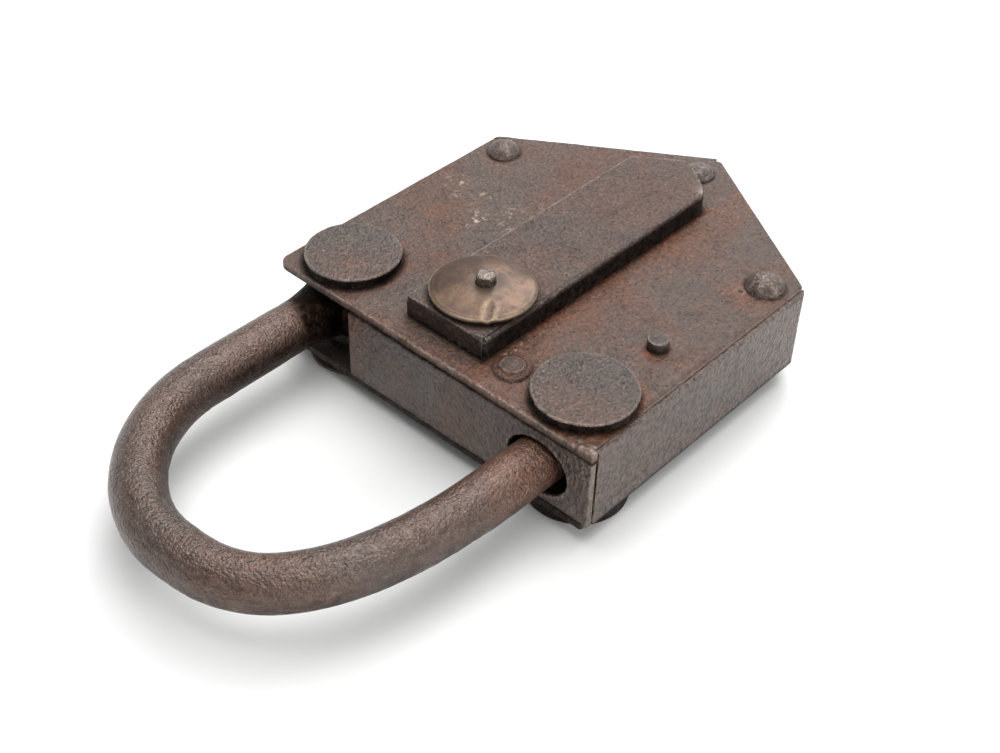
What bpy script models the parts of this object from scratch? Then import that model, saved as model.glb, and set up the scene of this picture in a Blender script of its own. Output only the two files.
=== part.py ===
"""Forged box padlock with a pivoting shackle, a swinging keyhole cover and a thrown bolt.

Lengths are in metres. Every part hangs from one empty that stands on the ground under the
middle of the lock, and y = 0 of that empty is the outer face of the front wall.
X runs across the case from the heel of the shackle to its toe, Y runs from the bow of the
shackle to the apex of the case, and Z points up through the thickness of the lock.
"""

import math

import bmesh
import bpy
import numpy as np
from mathutils import Matrix, Vector

MM = 0.001
GAP = 0.3 * MM  # clearance between pieces that touch

# Where the ground point of the lock lies, seen from the front wall.
FRONT_Y = -16.19 * MM

# Case, seen from above.
HALF_WIDTH = 45.0 * MM
SHOULDER_Y = 72.1 * MM
APEX_Y = 101.9 * MM
WALL = 1.2 * MM
LAP = WALL + GAP  # how far a plate stays inside a wall that stands round it

# Levels above the ground.
DISC_FOOT = 3.1 * MM
FLOOR_LOW = 3.4 * MM
FLOOR_TOP = 5.2 * MM
LID_LOW = 22.6 * MM
LID_TOP = 24.2 * MM
SIDE_LOW = 4.8 * MM
SIDE_TOP = 23.8 * MM
GABLE_TOP = 24.8 * MM
ROD_Z = 13.6 * MM

# Shackle: the centre line of the round rod.
ROD_R = 5.8 * MM
HEEL_X = -35.4 * MM
TOE_X = 30.7 * MM
BOW_X = -3.7 * MM
BOW_Y = -63.5 * MM
HEEL_BEND_Y = -28.9 * MM
TOE_BEND_Y = 1.7 * MM
HEEL_POWER = 1.88
TOE_POWER = 2.72
TOE_TIP_Y = 17.0 * MM
HINGE = (-33.0 * MM, 12.2 * MM)
EYE_R = 7.8 * MM
EYE_HALF = 5.5 * MM
PIN_R = 3.4 * MM
NOTCH = (8.0 * MM, 12.6 * MM)  # start and end along the toe leg
NOTCH_X = 28.4 * MM

# Openings in the case.
TOE_HOLE = (31.5 * MM, 13.55 * MM, 7.8 * MM, 6.6 * MM)  # x, z, half width, half height
FRONT_WALL_START = -22.2 * MM
LEFT_WALL_START = 27.0 * MM
RIGHT_WALL_START = 2.0 * MM
KEYHOLE = (-3.0 * MM, 58.0 * MM)

# Keyhole cover and what holds it.
PIVOT = (0.5 * MM, 18.2 * MM)
COVER_HALF = 11.1 * MM
COVER_FRONT = 6.4 * MM
COVER_SHOULDER = 81.3 * MM
COVER_APEX = 88.9 * MM
COVER_TOP = 29.7 * MM
WASHER_BORE = 2.9 * MM  # a loose hole: the washer sits a little off the pin

# Bolt, drawn back.
BOLT_LOW = 12.6 * MM
BOLT_TOP = 15.6 * MM
NOSE_TIP = 24.0 * MM
THROW = 4.0 * MM

FRONT_RIVET = (16.5 * MM, 9.0 * MM)
STUD_POST = (33.4 * MM, 34.9 * MM)
ROUND = 40


def clear_scene():
    for item in list(bpy.data.objects):
        bpy.data.objects.remove(item, do_unlink=True)


def new_collection(name, hidden=False):
    group = bpy.data.collections.new(name)
    bpy.context.scene.collection.children.link(group)
    group.hide_render = hidden
    return group


def make_material(name, colour, roughness, metallic):
    material = bpy.data.materials.new(name)
    material.use_nodes = True
    shader = material.node_tree.nodes["Principled BSDF"]
    shader.inputs["Base Color"].default_value = (*colour, 1.0)
    shader.inputs["Roughness"].default_value = roughness
    shader.inputs["Metallic"].default_value = metallic
    return material


def place(item, group, base, material=None):
    for old in list(item.users_collection):
        old.objects.unlink(item)
    group.objects.link(item)
    item.parent = base
    if material:
        item.data.materials.append(material)
    return item


def as_mesh(item, group, base):
    """The mesh of a curve object, with its caps welded on."""
    bpy.context.view_layer.update()
    graph = bpy.context.evaluated_depsgraph_get()
    mesh = bpy.data.meshes.new_from_object(item.evaluated_get(graph))
    shape = bmesh.new()
    shape.from_mesh(mesh)
    bmesh.ops.remove_doubles(shape, verts=shape.verts, dist=1e-6)
    bmesh.ops.recalc_face_normals(shape, faces=shape.faces)
    shape.to_mesh(mesh)
    shape.free()
    made = bpy.data.objects.new(item.name, mesh)
    group.objects.link(made)
    made.parent = base
    made.matrix_world = item.matrix_world.copy()
    name = item.name
    bpy.data.objects.remove(item, do_unlink=True)
    made.name = name
    return made


def rounded(corners, steps=5):
    """A closed outline from (x, y, radius) corners, each radius turned into an arc."""
    points = []
    count = len(corners)
    for index, (x, y, radius) in enumerate(corners):
        here = Vector((x, y))
        before = (Vector(corners[index - 1][:2]) - here).normalized()
        after = (Vector(corners[(index + 1) % count][:2]) - here).normalized()
        if radius <= 0:
            points.append(here)
            continue
        half = before.angle(after) / 2
        middle = here + (before + after).normalized() * (radius / math.sin(half))
        start = here + before * (radius / math.tan(half))
        end = here + after * (radius / math.tan(half))
        first, last = start - middle, end - middle
        turn = first.angle_signed(last)
        for step in range(steps + 1):
            angle = -turn * step / steps
            c, s = math.cos(angle), math.sin(angle)
            points.append(middle + Vector((first.x * c - first.y * s, first.x * s + first.y * c)))
    return points


def slab(name, outline, low, high, group, base, material=None):
    """A flat piece with the given outline between two levels."""
    curve = bpy.data.curves.new(name, "CURVE")
    curve.dimensions = "2D"
    curve.fill_mode = "BOTH"
    curve.extrude = (high - low) / 2
    spline = curve.splines.new("POLY")
    spline.points.add(len(outline) - 1)
    for point, (x, y) in zip(spline.points, outline):
        point.co = (x, y, 0, 1)
    spline.use_cyclic_u = True
    item = bpy.data.objects.new(name, curve)
    group.objects.link(item)
    item.parent = base
    item.location = (0, 0, (low + high) / 2)
    made = as_mesh(item, group, base)
    if material:
        made.data.materials.append(material)
    return made


def box(name, low, high, group, base, material=None):
    """A block between two opposite corners."""
    size = [b - a for a, b in zip(low, high)]
    middle = [(a + b) / 2 for a, b in zip(low, high)]
    mesh = bpy.data.meshes.new(name)
    shape = bmesh.new()
    bmesh.ops.create_cube(shape, size=1.0)
    bmesh.ops.scale(shape, vec=size, verts=shape.verts)
    shape.to_mesh(mesh)
    shape.free()
    item = bpy.data.objects.new(name, mesh)
    group.objects.link(item)
    item.parent = base
    item.location = middle
    if material:
        mesh.materials.append(material)
    return item


def turned(name, profile, centre, group, base, material=None, steps=ROUND):
    """A piece of revolution. The (radius, height) profile runs from its top to its bottom."""
    mesh = bpy.data.meshes.new(name)
    shape = bmesh.new()
    points = [shape.verts.new((radius, 0, height)) for radius, height in profile]
    for one, other in zip(points, points[1:]):
        shape.edges.new((one, other))
    shape.to_mesh(mesh)
    shape.free()
    item = bpy.data.objects.new(name, mesh)
    group.objects.link(item)
    item.parent = base
    item.location = (centre[0], centre[1], 0)
    screw = item.modifiers.new("turn", "SCREW")
    screw.steps = steps
    screw.render_steps = steps
    screw.use_merge_vertices = True
    screw.merge_threshold = 0.00001
    if material:
        mesh.materials.append(material)
    return item


def ring_profile(inner, outer, low, high):
    """The closed section of a plain ring."""
    return [(inner, high), (outer, high), (outer, low), (inner, low), (inner, high)]


def cylinder(name, radius, low, high, centre, group, base, steps=ROUND):
    mesh = bpy.data.meshes.new(name)
    shape = bmesh.new()
    bmesh.ops.create_cone(
        shape, cap_ends=True, segments=steps, radius1=radius, radius2=radius, depth=high - low
    )
    shape.to_mesh(mesh)
    shape.free()
    item = bpy.data.objects.new(name, mesh)
    group.objects.link(item)
    item.parent = base
    item.location = (centre[0], centre[1], (low + high) / 2)
    return item


def boolean(item, tool, operation):
    modifier = item.modifiers.new(operation.lower(), "BOOLEAN")
    modifier.operation = operation
    modifier.object = tool
    modifier.solver = "EXACT"
    tool.hide_render = True
    tool.display_type = "WIRE"


def soften(item, width, segments=2, angle=40):
    modifier = item.modifiers.new("edges", "BEVEL")
    modifier.width = width
    modifier.segments = segments
    modifier.limit_method = "ANGLE"
    modifier.angle_limit = math.radians(angle)


def smooth(item, angle=35):
    item.data.shade_smooth()
    item.data.set_sharp_from_angle(angle=math.radians(angle))


def rod_line():
    """Centre line of the shackle, from the eye round the bow to the tip of the toe."""
    points = []
    for y in np.linspace(HINGE[1] - 5 * MM, HEEL_BEND_Y, 8)[:-1]:
        points.append((HEEL_X, y))
    for angle in np.linspace(0, math.pi / 2, 18):
        x = BOW_X - (BOW_X - HEEL_X) * math.cos(angle) ** (2 / HEEL_POWER)
        y = HEEL_BEND_Y - (HEEL_BEND_Y - BOW_Y) * math.sin(angle) ** (2 / HEEL_POWER)
        points.append((x, y))
    for angle in np.linspace(math.pi / 2, 0, 24)[1:]:
        x = BOW_X + (TOE_X - BOW_X) * math.cos(angle) ** (2 / TOE_POWER)
        y = TOE_BEND_Y - (TOE_BEND_Y - BOW_Y) * math.sin(angle) ** (2 / TOE_POWER)
        points.append((x, y))
    for y in np.linspace(TOE_BEND_Y, TOE_TIP_Y, 6)[1:]:
        points.append((TOE_X, y))
    return evened([Vector(p) for p in points], 56)


def evened(points, count):
    """The same line with its points at equal steps along it."""
    lengths = [0.0]
    for one, other in zip(points, points[1:]):
        lengths.append(lengths[-1] + (other - one).length)
    steps = np.linspace(0, lengths[-1], count)
    xs = np.interp(steps, lengths, [p.x for p in points])
    ys = np.interp(steps, lengths, [p.y for p in points])
    return list(zip(xs, ys))


def make_shackle(group, cutters, base, material):
    line = rod_line()
    curve = bpy.data.curves.new("shackle", "CURVE")
    curve.dimensions = "3D"
    curve.bevel_depth = ROD_R
    curve.bevel_resolution = 8
    curve.use_fill_caps = True
    spline = curve.splines.new("POLY")
    spline.points.add(len(line) - 1)
    for point, (x, y) in zip(spline.points, line):
        point.co = (x - HINGE[0], y - HINGE[1], 0, 1)
    spline.points[-1].radius = 0.72
    item = bpy.data.objects.new("shackle", curve)
    group.objects.link(item)
    item.parent = base
    item.location = (HINGE[0], HINGE[1], ROD_Z)
    shackle = as_mesh(item, group, base)
    shackle.data.materials.append(material)
    eye = cylinder("shackle_eye", EYE_R, ROD_Z - EYE_HALF, ROD_Z + EYE_HALF, HINGE, cutters, base)
    soften(eye, 1.0 * MM)
    boolean(shackle, eye, "UNION")
    bore = cylinder("shackle_bore", PIN_R + GAP, 0, 30 * MM, HINGE, cutters, base)
    boolean(shackle, bore, "DIFFERENCE")
    low = (TOE_X - 2 * ROD_R, NOTCH[0], ROD_Z - 8 * MM)
    notch = box("shackle_notch", low, (NOTCH_X, NOTCH[1], ROD_Z + 8 * MM), cutters, base)
    boolean(shackle, notch, "DIFFERENCE")
    smooth(shackle)


def gable_line(inset, y_offset=0.0):
    """Shoulder and apex of the case outline, moved inward square to the gable by an inset."""
    run, rise = HALF_WIDTH, APEX_Y - SHOULDER_Y
    drop = inset * math.hypot(run, rise) / run
    slope = rise / run
    return slope, APEX_Y - drop + y_offset


def make_case(group, cutters, base, iron, dark):
    slope, apex = gable_line(0)
    _, inner_apex = gable_line(LAP)
    right = HALF_WIDTH - LAP
    meet = (inner_apex - apex) / (2 * -slope)  # where the lapped left gable meets the right one
    lid = slab(
        "top_plate",
        rounded(
            [
                (-HALF_WIDTH, 0.8 * MM, 2.7 * MM),
                (right, 0, 1.0 * MM),
                (right, apex - slope * right, 2.0 * MM),
                (meet, apex - slope * meet, 1.5 * MM),
                (-HALF_WIDTH, inner_apex - slope * HALF_WIDTH, 1.0 * MM),
            ]
        ),
        LID_LOW,
        LID_TOP,
        group,
        base,
        iron,
    )
    floor = slab(
        "bottom_plate",
        rounded(
            [
                (-right, 0.6 * MM, 3.5 * MM),
                (right, 0, 1.0 * MM),
                (right, inner_apex - slope * right, 1.0 * MM),
                (0, inner_apex, 1.0 * MM),
                (-right, inner_apex - slope * right, 1.0 * MM),
            ]
        ),
        FLOOR_LOW,
        FLOOR_TOP,
        group,
        base,
        dark,
    )
    front = box(
        "front_wall",
        (FRONT_WALL_START, 0, FLOOR_TOP + GAP),
        (HALF_WIDTH, WALL, LID_LOW - GAP),
        group,
        base,
        iron,
    )
    x, z, half_wide, half_high = TOE_HOLE
    hole = cylinder("toe_hole", 1.0, -1.0, 1.0, (0, 0), cutters, base, 48)
    hole.data.transform(hole_matrix(half_wide, half_high, 4 * MM))
    hole.location = (x, 0, z)
    boolean(front, hole, "DIFFERENCE")

    # Each side wall is one bent strip, trimmed low where the lid reaches out over it.
    inner = HALF_WIDTH - WALL
    _, wall_apex = gable_line(WALL)
    tip = 0.35 * MM  # half the joint between the two strips at the apex
    bend = rounded(
        [
            (inner, RIGHT_WALL_START, 0),
            (HALF_WIDTH, RIGHT_WALL_START, 0),
            (HALF_WIDTH, SHOULDER_Y, 2.0 * MM),
            (tip, apex - slope * tip, 0),
            (tip, wall_apex - slope * tip, 0),
            (inner, wall_apex - slope * inner, 0.8 * MM),
        ]
    )
    right_wall = slab("right_wall", bend, SIDE_LOW, SIDE_TOP, group, base, iron)
    trim = box(
        "right_trim",
        (-5 * MM, 60 * MM, LID_LOW - GAP),
        (right + 0.15 * MM, 110 * MM, LID_TOP + 5 * MM),
        cutters,
        base,
    )
    boolean(right_wall, trim, "DIFFERENCE")

    bend = rounded(
        [
            (-inner, LEFT_WALL_START, 0),
            (-inner, wall_apex - slope * inner, 0.8 * MM),
            (-tip, wall_apex - slope * tip, 0),
            (-tip, apex - slope * tip, 0),
            (-HALF_WIDTH, SHOULDER_Y, 2.0 * MM),
            (-HALF_WIDTH, LEFT_WALL_START, 0),
        ]
    )
    left_wall = slab("left_wall", bend, SIDE_LOW, GABLE_TOP, group, base, iron)
    edge = inner_apex + GAP
    trim = slab(
        "left_trim",
        [
            (-50 * MM, LEFT_WALL_START - 5 * MM),
            (-40 * MM, LEFT_WALL_START - 5 * MM),
            (-40 * MM, edge - slope * 40 * MM),
            (-50 * MM, edge - slope * 50 * MM),
        ],
        LID_LOW - GAP,
        LID_TOP + 5 * MM,
        cutters,
        base,
    )
    boolean(left_wall, trim, "DIFFERENCE")

    for centre, radius in lid_holes():
        drill = cylinder("lid_hole", radius + GAP, LID_LOW - 2 * MM, LID_TOP + 2 * MM, centre, cutters, base, 24)
        boolean(lid, drill, "DIFFERENCE")
    for centre, radius in floor_holes():
        drill = cylinder("floor_hole", radius + GAP, FLOOR_LOW - 2 * MM, FLOOR_TOP + 2 * MM, centre, cutters, base, 24)
        boolean(floor, drill, "DIFFERENCE")
    key_round = cylinder("key_round", 4.2 * MM, LID_LOW - 2 * MM, LID_TOP + 2 * MM, KEYHOLE, cutters, base, 28)
    boolean(lid, key_round, "DIFFERENCE")
    key_slot = box(
        "key_slot",
        (KEYHOLE[0] - 1.9 * MM, KEYHOLE[1], LID_LOW - 2.5 * MM),
        (KEYHOLE[0] + 1.9 * MM, KEYHOLE[1] + 10.5 * MM, LID_TOP + 2.5 * MM),
        cutters,
        base,
    )
    boolean(lid, key_slot, "DIFFERENCE")


def hole_matrix(half_wide, half_high, reach):
    """Lays a unit cylinder along Y with an oval section."""
    turn = Matrix.Rotation(math.pi / 2, 4, "X")
    size = Matrix.Diagonal((half_wide, reach, half_high, 1))
    return size @ turn


SHANK_R = 2.0 * MM
CORNER_RIVETS = (
    ("corner_rivet_left", (-38.8 * MM, 67.6 * MM), 4.1 * MM, 2.9 * MM),
    ("corner_rivet_apex", (0.6 * MM, 92.9 * MM), 3.8 * MM, 2.7 * MM),
    ("corner_rivet_right", (37.6 * MM, 67.4 * MM), 4.6 * MM, 3.2 * MM),
)
TOE_DISC_TOP = (32.6 * MM, 12.4 * MM)
TOE_DISC_LOW = (32.9 * MM, 11.7 * MM)


def lid_holes():
    found = [(centre, SHANK_R) for _, centre, _, _ in CORNER_RIVETS]
    found += [(HINGE, PIN_R), (TOE_DISC_TOP, SHANK_R), (FRONT_RIVET, SHANK_R)]
    found += [(STUD_POST, 2.35 * MM), (PIVOT, 2.15 * MM)]
    return found


def floor_holes():
    found = [(centre, SHANK_R) for _, centre, _, _ in CORNER_RIVETS]
    found += [(HINGE, PIN_R), (TOE_DISC_LOW, SHANK_R), (FRONT_RIVET, SHANK_R)]
    found += [(STUD_POST, SHANK_R), (KEYHOLE, 1.6 * MM), (SPRING_STUD, 1.6 * MM)]
    return found


SPRING_STUD = (-24.0 * MM, 50.0 * MM)


def dome(radius, height, foot, up=True, steps=6):
    """Half section of a domed head, from its crown out to its edge."""
    sphere = (radius * radius + height * height) / (2 * height)
    widest = math.asin(min(1.0, radius / sphere))
    points = []
    for step in range(steps + 1):
        angle = widest * step / steps
        rise = sphere * math.cos(angle) - (sphere - height)
        points.append((sphere * math.sin(angle), foot + rise if up else foot - rise))
    return points


def make_fastenings(group, cutters, base, steel, dark):
    head = LID_TOP + GAP
    foot = DISC_FOOT
    for name, centre, radius, height in CORNER_RIVETS:
        profile = dome(radius, height - GAP, head)
        profile += [(SHANK_R, head), (SHANK_R, foot)]
        profile += dome(radius * 0.95, foot, foot, up=False)[::-1]
        smooth(turned(name, profile, centre, group, base, steel, 28), 50)
    profile = [(0, 25.45 * MM), (2.1 * MM, 25.45 * MM), (3.4 * MM, 25.1 * MM), (4.1 * MM, head)]
    profile += [(SHANK_R, head), (SHANK_R, foot), (4.0 * MM, foot), (3.2 * MM, 1.9 * MM), (0, 1.7 * MM)]
    smooth(turned("front_rivet", profile, FRONT_RIVET, group, base, steel, 28), 50)
    profile = [(0, 26.7 * MM), (2.1 * MM, 26.7 * MM), (2.35 * MM, 26.4 * MM), (2.35 * MM, LID_LOW)]
    profile += [(SHANK_R, LID_LOW), (SHANK_R, foot), (3.4 * MM, foot), (2.8 * MM, 2.0 * MM), (0, 1.8 * MM)]
    smooth(turned("spring_post", profile, STUD_POST, group, base, steel, 24), 50)

    radius = 10.85 * MM
    profile = [(0, 26.85 * MM), (radius - 0.4 * MM, 26.85 * MM), (radius, 26.5 * MM)]
    profile += [(radius - 0.3 * MM, head), (PIN_R, head), (PIN_R, foot), (radius - 0.3 * MM, foot)]
    profile += [(radius, 0.4 * MM), (radius - 0.4 * MM, 0), (0, 0)]
    smooth(turned("heel_pin", profile, HINGE, group, base, dark, 48))
    radius = 11.2 * MM
    profile = [(0, 26.95 * MM), (radius - 0.4 * MM, 26.95 * MM), (radius, 26.6 * MM)]
    profile += [(radius - 0.3 * MM, head), (SHANK_R, head), (SHANK_R, LID_LOW - GAP)]
    profile += [(3.0 * MM, LID_LOW - GAP), (2.4 * MM, 21.2 * MM), (0, 21.0 * MM)]
    smooth(turned("toe_disc_top", profile, TOE_DISC_TOP, group, base, dark, 48))
    radius = 11.0 * MM
    profile = [(0, 6.6 * MM), (2.4 * MM, 6.4 * MM), (3.0 * MM, FLOOR_TOP + GAP)]
    profile += [(SHANK_R, FLOOR_TOP + GAP), (SHANK_R, foot), (radius - 0.3 * MM, foot)]
    profile += [(radius, 0.4 * MM), (radius - 0.4 * MM, 0), (0, 0)]
    smooth(turned("toe_disc_bottom", profile, TOE_DISC_LOW, group, base, dark, 48))

    eye_low, eye_top = ROD_Z - EYE_HALF, ROD_Z + EYE_HALF
    low = ring_profile(PIN_R + GAP, 6.6 * MM, FLOOR_TOP + GAP, eye_low - GAP)
    turned("heel_collar_low", low, HINGE, group, base, dark, 32)
    high = ring_profile(PIN_R + GAP, 6.6 * MM, eye_top + GAP, LID_LOW - GAP)
    turned("heel_collar_high", high, HINGE, group, base, dark, 32)


def make_cover(group, cutters, base, dark, bronze, steel):
    outline = rounded(
        [
            (-COVER_HALF, COVER_FRONT, 0.6 * MM),
            (COVER_HALF, COVER_FRONT, 0.8 * MM),
            (COVER_HALF, COVER_SHOULDER, 1.6 * MM),
            (0, COVER_APEX, 1.2 * MM),
            (-COVER_HALF, COVER_SHOULDER, 0.8 * MM),
        ],
        4,
    )
    outline = [(x - PIVOT[0], y - PIVOT[1]) for x, y in outline]
    holder = bpy.data.objects.new("cover_axis", None)
    group.objects.link(holder)
    holder.parent = base
    holder.location = (PIVOT[0], PIVOT[1], 0)
    cover = slab("keyhole_cover", outline, LID_TOP + GAP, COVER_TOP, group, holder, dark)
    soften(cover, 0.45 * MM)
    hole = cylinder("cover_hole", 2.15 * MM + GAP, LID_TOP - MM, COVER_TOP + MM, (0, 0), cutters, holder, 24)
    boolean(cover, hole, "DIFFERENCE")
    washer_section = [
        (WASHER_BORE, 32.8 * MM),
        (4.0 * MM, 32.75 * MM),
        (7.5 * MM, 32.3 * MM),
        (10.4 * MM, 31.75 * MM),
        (11.35 * MM, 31.4 * MM),
        (11.4 * MM, 30.6 * MM),
        (11.0 * MM, 30.2 * MM),
        (9.4 * MM, 30.6 * MM),
        (6.8 * MM, 31.1 * MM),
        (3.6 * MM, 31.5 * MM),
        (WASHER_BORE, 31.55 * MM),
        (WASHER_BORE, 32.8 * MM),
    ]
    smooth(turned("domed_washer", washer_section, (0.1 * MM, 17.9 * MM), group, base, bronze, 48), 45)
    pin = [
        (0, 35.2 * MM),
        (1.8 * MM, 35.2 * MM),
        (2.15 * MM, 34.85 * MM),
        (2.15 * MM, LID_LOW - GAP),
        (3.2 * MM, LID_LOW - GAP),
        (2.6 * MM, 21.0 * MM),
        (0, 20.8 * MM),
    ]
    smooth(turned("cover_pivot", pin, PIVOT, group, base, steel, 24))


def make_bolt(group, cutters, base, steel, dark):
    outline = rounded(
        [
            (-12.0 * MM, 4.2 * MM, 0.8 * MM),
            (20.0 * MM, 4.2 * MM, 0.8 * MM),
            (20.0 * MM, 8.3 * MM, 0),
            (NOSE_TIP, 8.3 * MM, 0.5 * MM),
            (NOSE_TIP, 12.3 * MM, 0.5 * MM),
            (20.0 * MM, 12.3 * MM, 0),
            (20.0 * MM, 13.8 * MM, 0.8 * MM),
            (-5.0 * MM, 13.8 * MM, 0),
            (-5.0 * MM, 43.5 * MM, 0),
            (-3.0 * MM, 43.5 * MM, 0),
            (-3.0 * MM, 49.0 * MM, 0.6 * MM),
            (-6.5 * MM, 49.0 * MM, 0.6 * MM),
            (-6.5 * MM, 46.0 * MM, 0.6 * MM),
            (-9.5 * MM, 46.0 * MM, 0.6 * MM),
            (-9.5 * MM, 49.0 * MM, 0.6 * MM),
            (-12.0 * MM, 49.0 * MM, 0.6 * MM),
        ],
        3,
    )
    bolt = slab("bolt", outline, BOLT_LOW, BOLT_TOP, group, base, steel)
    half = SHANK_R + GAP
    slot = rounded(
        [
            (FRONT_RIVET[0] - THROW - half, FRONT_RIVET[1] - half, half * 0.98),
            (FRONT_RIVET[0] + half, FRONT_RIVET[1] - half, half * 0.98),
            (FRONT_RIVET[0] + half, FRONT_RIVET[1] + half, half * 0.98),
            (FRONT_RIVET[0] - THROW - half, FRONT_RIVET[1] + half, half * 0.98),
        ],
        6,
    )
    boolean(bolt, slab("bolt_slot", slot, BOLT_LOW - MM, BOLT_TOP + MM, cutters, base), "DIFFERENCE")

    # Two keepers carry the bolt, each a block with a window a little larger than the bolt.
    low, high = FLOOR_TOP + GAP, 18.2 * MM
    keeper = box("bolt_keeper_front", (1.0 * MM, 1.9 * MM, low), (7.0 * MM, 16.2 * MM, high), group, base, dark)
    window = box(
        "keeper_window_front",
        (-1.0 * MM, 3.9 * MM, BOLT_LOW - GAP),
        (9.0 * MM, 14.1 * MM, BOLT_TOP + GAP),
        cutters,
        base,
    )
    boolean(keeper, window, "DIFFERENCE")
    keeper = box("bolt_keeper_rear", (-14.8 * MM, 20 * MM, low), (1.8 * MM, 25 * MM, high), group, base, dark)
    window = box(
        "keeper_window_rear",
        (-12.3 * MM, 18 * MM, BOLT_LOW - GAP),
        (-5.0 * MM + THROW + GAP, 27 * MM, BOLT_TOP + GAP),
        cutters,
        base,
    )
    boolean(keeper, window, "DIFFERENCE")


def strip(name, line, width, low, high, group, base, material):
    """A leaf spring: a flat strip of even width standing on its edge along a line."""
    left, right = [], []
    points = [Vector(p) for p in line]
    for index, point in enumerate(points):
        before = points[max(index - 1, 0)]
        after = points[min(index + 1, len(points) - 1)]
        along = (after - before).normalized()
        across = Vector((-along.y, along.x)) * (width / 2)
        left.append(point + across)
        right.append(point - across)
    return slab(name, left + right[::-1], low, high, group, base, material)


def arc(centre, radius, start, end, count):
    angles = np.radians(np.linspace(start, end, count))
    return [(centre[0] + radius * math.cos(a), centre[1] + radius * math.sin(a)) for a in angles]


def make_springs(group, cutters, base, steel, dark):
    # The detent spring wraps the stud and presses on the long arm of the bolt.
    stud = [(0, 19.0 * MM), (1.4 * MM, 19.0 * MM), (1.6 * MM, 18.8 * MM), (1.6 * MM, DISC_FOOT)]
    stud += [(2.6 * MM, DISC_FOOT), (2.2 * MM, 2.2 * MM), (0, 2.1 * MM)]
    turned("spring_stud", stud, SPRING_STUD, group, base, dark, 20)
    radius = 1.6 * MM + GAP + 0.5 * MM
    line = arc(SPRING_STUD, radius, 190, -20, 12)
    end_x, end_y = line[-1]
    for step in range(1, 9):
        t = step / 8
        x = end_x + (-13.0 * MM - end_x) * t
        y = end_y + (29.0 * MM - end_y) * t
        bow = 1.6 * MM * math.sin(math.pi * t)
        line.append((x + bow * 0.4, y + bow))
    strip("detent_spring", line, 0.9 * MM, 11.0 * MM, 17.4 * MM, group, base, steel)

    # The kicker spring wraps the tall post and bears on the tip of the toe.
    radius = SHANK_R + GAP + 0.5 * MM
    line = arc(STUD_POST, radius, -20, 200, 12)
    end_x, end_y = line[-1]
    for step in range(1, 9):
        t = step / 8
        x = end_x + (TOE_X - 2.0 * MM - end_x) * t
        y = end_y + (TOE_TIP_Y + 1.2 * MM - end_y) * t
        bow = 1.2 * MM * math.sin(math.pi * t)
        line.append((x - bow, y))
    line.append((TOE_X + 0.6 * MM, TOE_TIP_Y + 0.9 * MM))
    strip("kicker_spring", line, 0.9 * MM, 10.6 * MM, 16.6 * MM, group, base, steel)


def make_key_gear(group, cutters, base, dark):
    """The post that a pipe key turns on, and the two wards that the key's bit must pass."""
    post = [(0, 19.8 * MM), (1.2 * MM, 19.8 * MM), (1.6 * MM, 19.4 * MM), (1.6 * MM, DISC_FOOT)]
    post += [(2.7 * MM, DISC_FOOT), (2.3 * MM, 2.2 * MM), (0, 2.1 * MM)]
    smooth(turned("key_post", post, KEYHOLE, group, base, dark, 24))
    for name, low, high in (
        ("ward_low", FLOOR_TOP + GAP, 7.9 * MM),
        ("ward_high", 20.2 * MM, LID_LOW - GAP),
    ):
        ward = turned(name, ring_profile(6.0 * MM, 7.0 * MM, low, high), KEYHOLE, group, base, dark, 36)
        mouth = box(
            name + "_mouth",
            (KEYHOLE[0] - 2.4 * MM, KEYHOLE[1], low - MM),
            (KEYHOLE[0] + 2.4 * MM, KEYHOLE[1] + 12 * MM, high + MM),
            cutters,
            base,
        )
        boolean(ward, mouth, "DIFFERENCE")


def main():
    clear_scene()
    parts = new_collection("box_padlock")
    cutters = new_collection("cutters", hidden=True)
    base = bpy.data.objects.new("padlock", None)
    parts.objects.link(base)
    base.location = (0, FRONT_Y, 0)
    bpy.context.view_layer.update()

    iron = make_material("rusted_plate", (0.115, 0.075, 0.058), 0.62, 0.65)
    forged = make_material("forged_rod", (0.095, 0.060, 0.047), 0.55, 0.70)
    dark = make_material("dark_scale", (0.060, 0.048, 0.044), 0.58, 0.60)
    steel = make_material("worn_rivet", (0.165, 0.150, 0.145), 0.45, 0.85)
    bronze = make_material("dull_bronze", (0.205, 0.145, 0.095), 0.40, 0.90)

    make_case(parts, cutters, base, iron, dark)
    make_shackle(parts, cutters, base, forged)
    make_fastenings(parts, cutters, base, steel, dark)
    make_cover(parts, cutters, base, dark, bronze, steel)
    make_bolt(parts, cutters, base, steel, dark)
    make_springs(parts, cutters, base, steel, dark)
    make_key_gear(parts, cutters, base, dark)


main()
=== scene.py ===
import math

import bmesh
import bpy
from mathutils import Matrix, Vector, noise


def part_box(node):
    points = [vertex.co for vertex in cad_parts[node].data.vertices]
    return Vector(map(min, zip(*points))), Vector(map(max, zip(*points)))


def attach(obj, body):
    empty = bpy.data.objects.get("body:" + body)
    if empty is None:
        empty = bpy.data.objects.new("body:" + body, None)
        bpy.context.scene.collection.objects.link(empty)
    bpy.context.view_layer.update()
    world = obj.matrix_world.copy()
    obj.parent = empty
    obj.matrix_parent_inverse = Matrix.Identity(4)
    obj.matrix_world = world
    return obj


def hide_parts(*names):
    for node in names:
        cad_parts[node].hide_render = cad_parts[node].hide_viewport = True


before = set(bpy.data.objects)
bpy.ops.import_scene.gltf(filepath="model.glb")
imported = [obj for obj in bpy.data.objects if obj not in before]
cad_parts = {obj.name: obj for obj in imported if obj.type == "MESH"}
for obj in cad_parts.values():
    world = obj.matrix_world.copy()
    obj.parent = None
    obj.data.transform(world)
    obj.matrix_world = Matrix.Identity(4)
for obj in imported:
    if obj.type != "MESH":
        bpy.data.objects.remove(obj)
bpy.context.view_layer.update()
scene = bpy.context.scene
scene.view_settings.view_transform = "Standard"
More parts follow.
